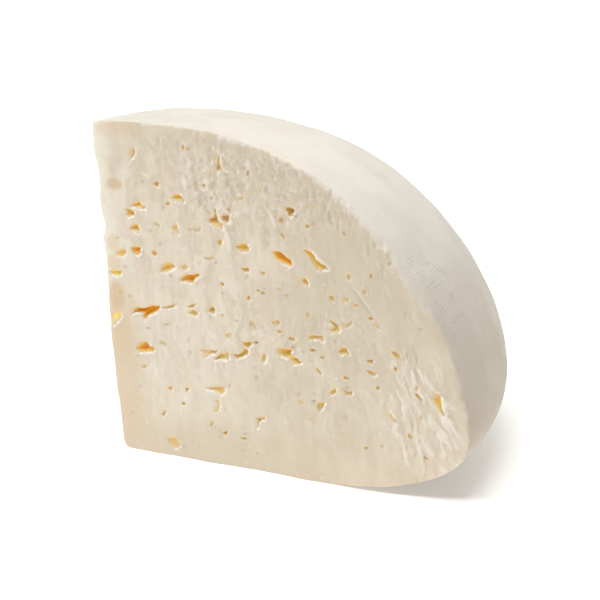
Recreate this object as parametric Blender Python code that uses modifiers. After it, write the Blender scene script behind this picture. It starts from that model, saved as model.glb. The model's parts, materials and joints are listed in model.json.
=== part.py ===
"""A wedge cut from a domed, cloth-drained head of brynza cheese.

Metres, +Z up. The wedge rests on the flat middle of the head's base. Its thin edge was the
head's own axis, one cut face looks towards -Y, and the rind curves round the +X and +Y sides.
The origin is the middle of its bounding box, at the base.
"""

import math
import random

import bmesh
import bpy
from mathutils import Matrix, Vector, noise

MM = 0.001

# The head, as it was drained in its cloth.
HEAD_RADIUS = 110 * MM
CROWN_HEIGHT = 95 * MM
BELLY_HEIGHT = 19.5 * MM  # where the head is widest, at the first cut
BELLY_RISE = 9 * MM  # how much higher the widest line lies a quarter turn on
FOOT_RADIUS = 66 * MM  # the flat that it stood on
CROWN_POWER = 3.0  # higher is flatter on top
SHOULDER_POWER = 1.58  # higher is squarer at the shoulder
FOOT_POWER = 2.22
CROWN_DIP = 1.1 * MM  # how far the crown sinks a quarter turn on from the first cut
CROWN_DIP_RADIUS = 30 * MM
RIND_LUMP = 0.4 * MM
RIND_LUMP_SPAN = 34 * MM
TURN_STEPS = 112
CROWN_STEPS = 24
UNDER_STEPS = 9

# The two cuts of the knife.
WEDGE_ANGLE = math.radians(86)
CUT_WAVE = 0.55 * MM
CUT_WAVE_SPAN = 30 * MM
CUT_CHATTER = 0.22 * MM
CUT_CHATTER_SPAN = 11.5 * MM
CUT_CELL = 6 * MM
EDGE_BOW = 1.1 * MM  # the thin edge swells outwards by this
EDGE_BOW_HEIGHT = 31 * MM
EDGE_BOW_SPAN = 40 * MM
EDGE_SET_OUT = 0.3 * MM
SLAB_REACH = 132 * MM
SLAB_LOW = -12 * MM
SLAB_HIGH = 108 * MM
FIRST_CUT = {"turn": 0.0, "outward": -1, "wave_start": 3.7, "bow": 0.0}
SECOND_CUT = {"turn": WEDGE_ANGLE, "outward": 1, "wave_start": 11.3, "bow": 1.0}

# Eyes that open on the first cut, by height: (mm from the thin edge, mm above the base,
# width, height, rise in degrees towards the rind).
CROWN_EYES = (
    (12.4, 86.6, 1.6, 2.0, 60),
    (40.7, 84.3, 1.6, 3.0, 75),
    (5.4, 78.1, 4.6, 2.2, 10),
    (35.3, 78.6, 2.0, 1.3, 0),
    (26.6, 74.9, 4.0, 1.9, 12),
    (13.0, 72.3, 3.8, 2.1, 20),
    (62.2, 73.3, 3.0, 2.2, -30),
    (9.9, 69.9, 2.9, 1.8, 0),
    (38.6, 69.6, 4.8, 2.8, 15),
    (42.2, 71.4, 1.8, 3.2, 80),
)
HEART_EYES = (
    (11.1, 65.7, 3.3, 2.1, 15),
    (24.6, 66.5, 2.6, 2.3, 0),
    (30.9, 66.4, 4.6, 1.5, 8),
    (46.2, 62.6, 4.2, 2.3, 5),
    (58.4, 60.5, 7.6, 2.5, -24),
    (68.7, 61.0, 8.6, 2.7, -33),
    (5.4, 58.4, 3.4, 1.8, 8),
    (10.6, 59.3, 3.4, 1.8, 12),
    (35.8, 59.1, 3.2, 1.2, 8),
    (46.7, 57.0, 2.4, 1.4, 0),
    (20.6, 55.6, 5.2, 2.1, 6),
    (26.9, 55.9, 2.8, 1.6, 8),
    (78.1, 57.3, 1.9, 1.6, 0),
    (64.9, 54.9, 2.4, 1.6, -20),
    (28.1, 52.5, 6.8, 2.2, 6),
    (4.3, 52.5, 2.8, 1.4, 6),
)
MIDDLE_EYES = (
    (12.8, 43.2, 9.4, 2.6, 8),
    (10.9, 39.9, 3.4, 2.3, 0),
    (21.2, 44.9, 3.8, 1.2, 12),
    (28.0, 45.8, 2.8, 1.4, 6),
    (28.5, 42.9, 2.8, 1.6, 0),
    (34.6, 44.7, 2.5, 1.6, 10),
    (76.8, 45.0, 3.0, 1.6, 0),
    (72.9, 43.3, 3.2, 2.5, 0),
    (55.0, 43.0, 2.4, 1.6, 0),
    (47.3, 41.7, 2.5, 2.0, 50),
    (67.4, 40.2, 4.4, 1.5, 8),
    (39.5, 37.9, 2.4, 1.6, 0),
    (45.6, 36.4, 3.4, 1.7, 42),
    (42.7, 33.2, 4.2, 1.7, 26),
    (75.1, 37.6, 2.9, 1.9, 0),
    (90.6, 38.0, 2.6, 1.7, -30),
    (57.9, 34.3, 6.6, 2.8, -8),
    (50.3, 32.8, 2.0, 2.4, 60),
)
FOOT_EYES = (
    (16.3, 33.3, 2.3, 1.8, 0),
    (9.9, 31.2, 5.4, 1.9, 8),
    (32.2, 32.3, 4.6, 1.5, 8),
    (37.2, 31.0, 3.8, 1.5, 8),
    (83.1, 32.6, 2.6, 1.5, -30),
    (101.6, 27.4, 5.6, 2.8, -62),
    (71.2, 26.0, 2.3, 1.4, 0),
    (75.7, 26.7, 2.3, 1.4, 0),
    (34.8, 21.9, 4.6, 1.6, 8),
    (67.1, 21.4, 2.0, 2.6, 70),
    (88.7, 21.3, 3.0, 2.0, 45),
    (47.4, 14.7, 2.7, 2.0, 0),
    (17.5, 4.6, 4.0, 2.6, 30),
)
EYE_DEPTH = 0.42  # of the width, on top of EYE_FLOOR
EYE_FLOOR = 0.8 * MM
EYE_RAGGED = 0.16
EYE_RAGGED_SPAN = 0.77  # of the eye's own half size
EYE_SPREAD = 2.5 * MM  # moves on through the noise from eye to eye
EYE_LOWEST = 1.4 * MM
PIN_EYE = 2.5 * MM  # narrower eyes are little more than pin holes

# Eyes on the second cut follow a rule: more of them near the heart than at the rim.
SECOND_CUT_EYES = 34
SECOND_CUT_SEED = 7
SECOND_CUT_SPACING = 6.0 * MM
SECOND_CUT_WIDTHS = (2.0 * MM, 4.5 * MM)
WIDE_EYE_SHARE = 0.2
WIDE_EYE_EXTRA = 3 * MM
EYE_SQUATNESS = (0.35, 0.6)  # height over width
EYE_RISES = (-35, 25)
HEART = (38 * MM, 52 * MM)
HEART_FADE = 138 * MM
RIM_CLEARANCE = 5 * MM


def clear_scene():
    for thing in list(bpy.data.objects):
        bpy.data.objects.remove(thing, do_unlink=True)


def new_collection(name):
    collection = bpy.data.collections.new(name)
    bpy.context.scene.collection.children.link(collection)
    return collection


def add_object(name, mesh, collection):
    thing = bpy.data.objects.new(name, mesh)
    collection.objects.link(thing)
    return thing


def cheese_material():
    material = bpy.data.materials.new("brynza_cream")
    material.use_nodes = True
    shader = material.node_tree.nodes["Principled BSDF"]
    shader.inputs["Base Color"].default_value = (0.80, 0.70, 0.53, 1.0)
    shader.inputs["Roughness"].default_value = 0.62
    shader.inputs["Metallic"].default_value = 0.0
    return material


def head_profile():
    """(distance from the axis, height) down the outside, from the crown to the base."""
    points = []
    for step in range(CROWN_STEPS + 1):
        turn = math.pi / 2 * step / CROWN_STEPS
        across = HEAD_RADIUS * math.sin(turn) ** (2 / CROWN_POWER)
        rise = (CROWN_HEIGHT - BELLY_HEIGHT) * max(0.0, math.cos(turn)) ** (2 / SHOULDER_POWER)
        points.append((across, BELLY_HEIGHT + rise))
    for step in range(1, UNDER_STEPS + 1):
        turn = math.pi / 2 * step / UNDER_STEPS
        across = (HEAD_RADIUS - FOOT_RADIUS) * max(0.0, math.cos(turn)) ** (2 / FOOT_POWER)
        drop = BELLY_HEIGHT * math.sin(turn) ** (2 / FOOT_POWER)
        points.append((FOOT_RADIUS + across, BELLY_HEIGHT - drop))
    points.append((0.0, 0.0))
    return points


def mesh_as_shown(thing, name):
    """A plain mesh of the object with its modifiers carried out. The object is removed."""
    bpy.context.view_layer.update()
    graph = bpy.context.evaluated_depsgraph_get()
    mesh = bpy.data.meshes.new_from_object(thing.evaluated_get(graph))
    mesh.name = name
    bpy.data.objects.remove(thing, do_unlink=True)
    return mesh


def shaped_by_hand(mesh):
    """The widest line climbs round the head, and the rind is a little lumpy off the base."""
    for vertex in mesh.vertices:
        place = vertex.co
        if place.z > BELLY_HEIGHT:
            share = (CROWN_HEIGHT - place.z) / (CROWN_HEIGHT - BELLY_HEIGHT)
        else:
            share = place.z / BELLY_HEIGHT
        quarter = math.sin(math.atan2(place.y, place.x))
        lift = BELLY_RISE * share * quarter
        if place.z > BELLY_HEIGHT:
            away = math.hypot(place.x, place.y) / CROWN_DIP_RADIUS - 1
            lift -= CROWN_DIP * quarter * max(0.0, 1 - away**2)
        swell = RIND_LUMP * noise.noise(place / RIND_LUMP_SPAN)
        off_base = min(1.0, place.z / BELLY_HEIGHT)
        out = Vector((place.x / HEAD_RADIUS, place.y / HEAD_RADIUS, place.z / CROWN_HEIGHT))
        vertex.co = place + Vector((0, 0, lift)) + out * swell * off_base


def turned_head(collection):
    mesh = bpy.data.meshes.new("head_profile")
    points = [(across, 0.0, height) for across, height in head_profile()]
    edges = [(i, i + 1) for i in range(len(points) - 1)]
    mesh.from_pydata(points, edges, [])
    profile = add_object("head_profile", mesh, collection)
    screw = profile.modifiers.new("turn", "SCREW")
    screw.axis = "Z"
    screw.angle = 2 * math.pi
    screw.steps = TURN_STEPS
    screw.render_steps = TURN_STEPS
    screw.use_merge_vertices = True
    screw.merge_threshold = 0.00005
    head = mesh_as_shown(profile, "brynza_wedge")
    shaped_by_hand(head)
    return add_object("brynza_wedge", head, collection)


def edge_bow(height):
    """How far the thin edge swells outwards: most where it bows, low down."""
    away = min(1.0, abs(height - EDGE_BOW_HEIGHT) / EDGE_BOW_SPAN)
    return EDGE_SET_OUT + EDGE_BOW * (1 + math.cos(math.pi * away)) / 2


def on_cut(cut, along, height):
    """A place on the surface that a cut left, before the cut is turned round the axis."""
    spot = Vector((along, height, 0))
    start = Vector((0, 0, cut["wave_start"]))
    wander = CUT_WAVE * noise.noise(spot / CUT_WAVE_SPAN + start)
    chatter = CUT_CHATTER * noise.noise(spot / CUT_CHATTER_SPAN + start)
    swell = cut["outward"] * cut["bow"] * edge_bow(height)
    return Vector((along, swell + wander + chatter, height))


def knife_slab(name, cut, collection):
    """All that one cut takes away: a slab with a slightly wavy side, standing on the cut."""
    columns = round(2 * SLAB_REACH / CUT_CELL)
    rows = round((SLAB_HIGH - SLAB_LOW) / CUT_CELL)
    grid = bmesh.new()
    bmesh.ops.create_grid(grid, x_segments=columns, y_segments=rows, size=0.5)
    for vertex in grid.verts:
        along = vertex.co.x * 2 * SLAB_REACH
        height = SLAB_LOW + (vertex.co.y + 0.5) * (SLAB_HIGH - SLAB_LOW)
        vertex.co = on_cut(cut, along, height)
    mesh = bpy.data.meshes.new(name)
    grid.to_mesh(mesh)
    grid.free()
    slab = add_object(name, mesh, collection)
    slab.rotation_euler = (0, 0, cut["turn"])
    thick = slab.modifiers.new("thickness", "SOLIDIFY")
    thick.thickness = SLAB_REACH
    thick.offset = -cut["outward"]
    return slab


def eye(name, cut, mouth, width, height, rise, collection):
    """A ragged hollow with its mouth on a cut: wide, low and about half as deep as wide."""
    blob = bmesh.new()
    roundness = 1 if width < PIN_EYE else 2
    bmesh.ops.create_icosphere(blob, subdivisions=roundness, radius=1.0)
    depth = EYE_FLOOR + EYE_DEPTH * width
    for vertex in blob.verts:
        ragged = 1 + EYE_RAGGED * noise.noise(vertex.co / EYE_RAGGED_SPAN + mouth / EYE_SPREAD)
        vertex.co = vertex.co * ragged
    sizes = Matrix.Diagonal((width / 2, depth, height / 2, 1))
    leaning = Matrix.Rotation(-math.radians(rise), 4, "Y")
    standing = Matrix.Rotation(cut["turn"], 4, "Z") @ Matrix.Translation(mouth)
    blob.transform(standing @ leaning @ sizes)
    bmesh.ops.recalc_face_normals(blob, faces=blob.faces)
    mesh = bpy.data.meshes.new(name)
    blob.to_mesh(mesh)
    blob.free()
    return add_object(name, mesh, collection)


def first_cut_eyes(collection):
    eyes = CROWN_EYES + HEART_EYES + MIDDLE_EYES + FOOT_EYES
    for number, (along, above, width, height, rise) in enumerate(eyes):
        mouth = on_cut(FIRST_CUT, along * MM, above * MM)
        eye(f"first_eye_{number}", FIRST_CUT, mouth, width * MM, height * MM, rise, collection)


def inside_outline(along, height, margin):
    """True where a place on a cut lies this far inside the head's outline."""
    if height < margin or along < margin or along > HEAD_RADIUS - margin:
        return False
    if height < BELLY_HEIGHT + BELLY_RISE:
        return along < FOOT_RADIUS + height
    across = (along + margin) / HEAD_RADIUS
    crown = CROWN_HEIGHT - BELLY_HEIGHT
    top = BELLY_HEIGHT + crown * max(0.0, 1 - across**CROWN_POWER) ** (1 / SHOULDER_POWER)
    return height + margin < top


def second_cut_eyes(collection):
    draw = random.Random(SECOND_CUT_SEED)
    taken = []
    while len(taken) < SECOND_CUT_EYES:
        along = draw.uniform(0, HEAD_RADIUS)
        above = draw.uniform(0, CROWN_HEIGHT)
        width = draw.uniform(*SECOND_CUT_WIDTHS)
        if draw.random() < WIDE_EYE_SHARE:
            width += WIDE_EYE_EXTRA
        rise = draw.uniform(*EYE_RISES)
        near = any(math.dist((along, above), other) < SECOND_CUT_SPACING for other in taken)
        rare = draw.random() < math.dist((along, above), HEART) / HEART_FADE
        if near or rare or not inside_outline(along, above, RIM_CLEARANCE):
            continue
        height = max(width * draw.uniform(*EYE_SQUATNESS), EYE_LOWEST)
        mouth = on_cut(SECOND_CUT, along, above)
        eye(f"second_eye_{len(taken)}", SECOND_CUT, mouth, width, height, rise, collection)
        taken.append((along, above))


def cut_away(thing, name, cutters):
    cut = thing.modifiers.new(name, "BOOLEAN")
    cut.operation = "DIFFERENCE"
    cut.solver = "EXACT"
    cut.operand_type = "COLLECTION"
    cut.collection = cutters


def stand_on_origin(thing, collection):
    """The finished solid as a mesh of its own, with the middle of its base at the origin."""
    mesh = mesh_as_shown(thing, "brynza_wedge")
    corners = [vertex.co for vertex in mesh.vertices]
    low = Vector([min(corner[axis] for corner in corners) for axis in range(3)])
    high = Vector([max(corner[axis] for corner in corners) for axis in range(3)])
    mesh.transform(Matrix.Translation(-Vector(((low.x + high.x) / 2, (low.y + high.y) / 2, low.z))))
    return add_object("brynza_wedge", mesh, collection)


def hide_cutters(*collections):
    for collection in collections:
        for cutter in collection.objects:
            cutter.hide_render = True
            cutter.display_type = "WIRE"


def main():
    clear_scene()
    parts = new_collection("brynza")
    knives = new_collection("knife_slabs")
    eyes = new_collection("eye_hollows")
    wedge = turned_head(parts)
    knife_slab("first_cut", FIRST_CUT, knives)
    knife_slab("second_cut", SECOND_CUT, knives)
    first_cut_eyes(eyes)
    second_cut_eyes(eyes)
    hide_cutters(knives, eyes)
    cut_away(wedge, "cuts", knives)
    cut_away(wedge, "eyes", eyes)
    wedge = stand_on_origin(wedge, parts)
    wedge.data.materials.clear()
    wedge.data.materials.append(cheese_material())
    wedge.data.shade_smooth()
    wedge.data.set_sharp_from_angle(angle=math.radians(35))


main()
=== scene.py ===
import itertools
import json
import math
import random

import bpy
from mathutils import Matrix, Vector, geometry, noise
from mathutils.kdtree import KDTree

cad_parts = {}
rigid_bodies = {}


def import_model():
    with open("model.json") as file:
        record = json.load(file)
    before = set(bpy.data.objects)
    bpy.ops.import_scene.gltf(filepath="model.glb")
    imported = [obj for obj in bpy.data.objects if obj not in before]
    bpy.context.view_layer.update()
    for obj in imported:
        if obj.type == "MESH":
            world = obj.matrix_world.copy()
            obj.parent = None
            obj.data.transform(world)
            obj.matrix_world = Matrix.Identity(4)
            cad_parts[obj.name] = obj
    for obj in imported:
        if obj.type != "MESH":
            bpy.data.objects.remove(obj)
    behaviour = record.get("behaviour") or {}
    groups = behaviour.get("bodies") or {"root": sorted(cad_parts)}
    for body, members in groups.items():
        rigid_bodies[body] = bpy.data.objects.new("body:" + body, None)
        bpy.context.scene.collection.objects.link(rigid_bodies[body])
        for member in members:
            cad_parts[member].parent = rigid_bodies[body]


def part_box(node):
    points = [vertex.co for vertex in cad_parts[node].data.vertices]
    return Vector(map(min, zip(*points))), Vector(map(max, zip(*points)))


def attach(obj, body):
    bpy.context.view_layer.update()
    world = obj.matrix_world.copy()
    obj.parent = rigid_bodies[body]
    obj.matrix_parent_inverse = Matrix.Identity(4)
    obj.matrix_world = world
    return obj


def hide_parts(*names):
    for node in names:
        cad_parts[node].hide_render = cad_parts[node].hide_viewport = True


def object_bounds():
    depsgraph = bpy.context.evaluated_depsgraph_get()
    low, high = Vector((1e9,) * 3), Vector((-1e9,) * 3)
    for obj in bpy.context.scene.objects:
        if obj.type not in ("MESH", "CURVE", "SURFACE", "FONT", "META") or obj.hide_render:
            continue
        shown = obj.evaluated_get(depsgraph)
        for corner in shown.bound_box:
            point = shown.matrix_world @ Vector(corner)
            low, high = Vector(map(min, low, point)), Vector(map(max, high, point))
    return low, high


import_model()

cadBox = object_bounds()

mm = 0.001

# The wedge is worked on with the head's axis at the world's middle, then moved to the frame.
wedgePlace = {
    "node": "brynza_wedge",
    "axisFromLow": (1.3595 * mm, 0.4243 * mm),  # the thin edge, from the low corner of the box
}

nodeLow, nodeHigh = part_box(wedgePlace["node"])
thinEdge = Vector((
    nodeLow.x + wedgePlace["axisFromLow"][0],
    nodeLow.y + wedgePlace["axisFromLow"][1],
    0,
))


def report(stage):
    print(f"brynza: {stage}")


def pickOnly(*things):
    # work on these alone, in object mode
    if bpy.context.object and bpy.context.object.mode != "OBJECT":
        bpy.ops.object.mode_set(mode="OBJECT")
    bpy.ops.object.select_all(action="DESELECT")
    for thing in things:
        thing.select_set(True)
    bpy.context.view_layer.objects.active = things[-1]


def startEditing(thing, action="SELECT"):
    pickOnly(thing)
    bpy.ops.object.mode_set(mode="EDIT")
    bpy.ops.mesh.select_mode(type="VERT")
    bpy.ops.mesh.select_all(action=action)


def stopEditing():
    bpy.ops.object.mode_set(mode="OBJECT")


def faceOutwards():
    # turn every face the right way, and leave edit mode
    bpy.ops.mesh.select_all(action="SELECT")
    bpy.ops.mesh.normals_make_consistent(inside=False)
    stopEditing()


def startEditingPoints(thing, wanted):
    # edit mode, with exactly these vertices selected
    startEditing(thing, action="DESELECT")
    stopEditing()
    for number in wanted:
        thing.data.vertices[number].select = True
    bpy.ops.object.mode_set(mode="EDIT")


def newShelf(name):
    shelf = bpy.data.collections.new(name)
    bpy.context.scene.collection.children.link(shelf)
    return shelf


def putOn(shelf, thing):
    for old in list(thing.users_collection):
        old.objects.unlink(thing)
    shelf.objects.link(thing)


def throwAway(shelf):
    for thing in list(shelf.objects):
        bpy.data.objects.remove(thing, do_unlink=True)
    bpy.data.collections.remove(shelf)


def smoothStep(value, start, end):
    share = min(1.0, max(0.0, (value - start) / (end - start)))
    return share * share * (3 - 2 * share)


def grain(along, height, wide, tall, layer):
    # a smooth draw from -1 to 1, in patches of this width and height; each layer is another draw
    return noise.noise(Vector((along / wide, height / tall, layer)))


# finishes

# Each look has its colours, the noises that they follow (span, detail, shift, roughness, and how
# much it is stretched), its ramps (shares of how far out, how high and how much it wanders), and
# its layers: the colour, then the terms whose product is its share, each a source alone or a
# source with (from, to, most, least).
pasteLook = {
    "cream": (0.780, 0.708, 0.582),
    "beige": (0.700, 0.610, 0.480),
    "pink": (0.745, 0.630, 0.515),
    "rimBeige": (0.635, 0.555, 0.425),
    "heartCream": (0.805, 0.748, 0.625),
    # painted glow: nearly white, for light that comes through the thin edge
    "thinEdgeGlow": (0.870, 0.825, 0.700),
    "peach": (0.730, 0.570, 0.380),
    # peach of the paste near the foot, partly painted shade darkening the bottom of the face
    "footPeachShade": (0.750, 0.625, 0.480),
    # painted highlight: this white stands for glints on crumbled flecks, specks and the eyes' lower right
    # lips; the palest grains take it too
    "whiteAndHighlight": (0.925, 0.895, 0.840),
    # partly painted highlight: the paler colour of smeared crests and fold crests
    "smeared": (0.850, 0.795, 0.700),
    # painted shade: this dull colour darkens the low spots between the pale flecks where the curd crumbles
    "gap": (0.560, 0.450, 0.310),
    "stained": (0.775, 0.620, 0.395),
    "broadSwing": 1.6,
    "wander": 26 * mm,
    "noises": {
        "broad": (9 * mm, 3.0),
        "streaks": (2 * mm, 2.0, (0, 0, 0), 0.5, (1, 1, 2 / 13)),
        "flakes": (2.2 * mm, 3.0, (7, 7, 1), 0.6),
        "wobble": (8 * mm, 3.0, (1, 6, 4)),
        "flecks": (1.3 * mm, 2.0, (3, 5, 2), 0.6, (1, 1, 0.6)),
        "specks": (1.3 * mm, 1.0, (9, 4, 2)),
        "torn": (0.9 * mm, 2.0, (2, 2, 8)),
    },
    "ramps": {
        "outward": (0.45, 0.75, 1.0),
        "inward": (0.55, 0.45, 1.0),
        "atEdge": (1.0, 0.0, 0.2),
        "nearEdge": (1.0, 0.0, 0.35),
        "higher": (0.0, 1.0, 1.0),
        "low": (0.0, 1.0, 0.25),
    },
    "layers": (
        # every grain of curd has a tone of its own
        ("cream", ("tone", 0.15, 0.75)),
        ("whiteAndHighlight", ("tone", 0.95, 1.3, 0.6)),
        ("rimBeige", ("tone", 0.1, -0.25, 0.6)),
        ("pink", ("blush", 0.45, 0.95, 0.55)),
        ("cream", ("streaks", 0.42, 0.66, 0.4)),
        ("heartCream", ("flakes", 0.52, 0.64, 0.4)),
        # darker out towards the shoulder, whiter in the heart
        ("rimBeige", ("outward", 58 * mm, 92 * mm, 0.7)),
        ("heartCream", ("inward", 46 * mm, 20 * mm, 0.45)),
        # painted glow of light through the thin edge, nearly white; peach lower down by it, and peach with
        # painted shade at the foot
        ("peach", ("nearEdge", 13 * mm, 3 * mm, 0.6), ("higher", 60 * mm, 42 * mm)),
        ("thinEdgeGlow", ("atEdge", 6.5 * mm, 0.5 * mm, 0.9), ("higher", 42 * mm, 60 * mm)),
        ("footPeachShade", ("low", 22 * mm, 0.0, 0.6)),
        ("peach", ("peach",)),
        ("rimBeige", ("dusk",)),
        # valleys and crests that the knife smeared: painted shade in the valleys, and on the crests a paler
        # colour that is partly a painted highlight
        ("beige", ("crest", 0.5, 0.1, 0.6)),
        ("smeared", ("crest", 0.56, 0.88, 0.75)),
        # where the curd crumbles: pale flecks as painted highlights, and painted shade between them
        ("whiteAndHighlight", ("crumbly",), ("flecks", 0.56, 0.7, 0.5)),
        # painted shade between the flecks
        ("gap", ("crumbly",), ("flecks", 0.43, 0.31, 0.5)),
        # painted highlights as white specks, stains beside the eyes, and painted highlights on the torn lips
        ("whiteAndHighlight", ("specks", 0.72, 0.78, 0.5)),
        ("stained", ("stain",)),
        ("whiteAndHighlight", ("lip", 0.08, 0.55, 0.95), ("torn", 0.34, 0.62)),
    ),
    "bumps": (0.8 * mm, 3.0, (0, 0, 0), 0.55),
    "bumpDepth": (0.09 * mm, 0.8),
    "roughness": (0.62, 0.44),
    "roughSpan": 2.4 * mm,
    "refraction": 1.42,
    "glow": 0.28,
    "glowReach": 2.4 * mm,
    "glowColour": (1.0, 0.66, 0.42),
}

hollowLook = {
    "tan": (0.760, 0.620, 0.410),
    "ochre": (0.840, 0.665, 0.335),
    "gold": (0.960, 0.660, 0.120),
    "amber": (1.000, 0.480, 0.015),
    "yellow": (1.000, 0.830, 0.220),
    "reddish": (0.870, 0.480, 0.210),
    "olive": (0.730, 0.600, 0.190),
    "brown": (0.640, 0.410, 0.190),
    "noises": {
        "hue": (5 * mm, 1.0, (4, 8, 8)),
        "fineHue": (2.5 * mm, 1.0, (1, 3, 5)),
    },
    "ramps": {},
    "layers": (
        # painted glow: from tan to amber the deeper the eye, for light scattered and bounced inside it
        ("tan", ("hollow", 0.0, 0.1)),
        ("ochre", ("hollow", 0.14, 0.36)),
        ("gold", ("hollow", 0.34, 0.6)),
        ("amber", ("hollow", 0.6, 0.9)),
        # close to the thin edge the light comes through
        ("yellow", ("away", 5.2 * mm, 3.4 * mm, 0.85), ("deep",)),
        ("reddish", ("hue", 0.56, 0.74, 0.5), ("height", 14 * mm, 30 * mm), ("deep",)),
        # greenish low down, away from the thin edge
        ("olive", ("fineHue", 0.38, 0.62, 0.6, 0.05), ("height", 62 * mm, 48 * mm),
         ("away", 15 * mm, 25 * mm), ("deep",)),
        # brown high up, where the curd crumbles
        ("brown", ("height", 60 * mm, 68 * mm, 0.7), ("crumbly", 0.3, 0.7), ("deep",)),
    ),
    "deep": (0.08, 0.32),  # of the full depth
    "fullDepth": 1.6 * mm,
    "roughness": 0.35,
    "glow": 0.7,
    "glowReach": 4.0 * mm,
}

rindLook = {
    "ivory": (0.755, 0.715, 0.635),
    "grey": (0.705, 0.660, 0.580),
    "cream": (0.755, 0.695, 0.585),
    # painted shade: darker and warmer, for the rind lower down its side
    "taupeShade": (0.570, 0.480, 0.378),
    "threadPale": (0.790, 0.765, 0.700),
    "threadDull": (0.560, 0.480, 0.390),
    "wander": 30 * mm,
    "noises": {
        "patches": (16 * mm, 3.0),
        "creams": (7 * mm, 2.0, (5, 5, 1)),
        "mottle": (3.2 * mm, 3.0, (4, 1, 9), 0.6),
        "wobble": (14 * mm, 3.0, (6, 2, 2)),
        "presses": (38 * mm, 3.0, (2, 8, 3)),
        "breaks": (3.4 * mm, 2.0),
    },
    "ramps": {"higher": (0.0, 1.0, 1.0)},
    "layers": (
        ("grey", ("patches", 0.38, 0.68)),
        ("cream", ("creams", 0.52, 0.75, 0.5)),
        ("grey", ("mottle", 0.5, 0.68, 0.5)),
        ("cream", ("mottle", 0.46, 0.32, 0.4)),
        # painted shade: taupe lower down the rind's side
        ("taupeShade", ("higher", 72 * mm, 16 * mm, 0.84)),
        # the cloth's threads left pale lines, and what stood between them is duller
        ("threadPale", ("weave", 0.4, 0.75, 0.36), ("pressed",)),
        ("threadDull", ("weave", 0.25, 0.02, 0.22), ("pressed",)),
    ),
    "threadGap": 0.78 * mm,
    "threadDepth": 0.22 * mm,
    "threadTurn": -12,
    "threadWave": {"Distortion": 7.0, "Detail": 2.0, "Detail Scale": 0.4},
    "crossThreads": (0.65, 0.35),  # how much the second set breaks up the first
    "sideStretch": 0.62,
    "pressed": Vector((99, 7, 51)) * mm,  # where the cloth's mark is plainest
    "pressedReach": (19 * mm, 7.6 * mm),
    "pressedElsewhere": (0.5, 0.7, 0.4, 0.04),
    "pressedBreaks": (0.46, 0.6),
    "bumps": (0.8 * mm, 3.0),
    "bumpDepth": (0.07 * mm, 0.6),
    "roughness": (0.72, 0.55),
    "roughSpan": 5 * mm,
    "glow": 0.22,
    "glowReach": 2.4 * mm,
}


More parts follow.
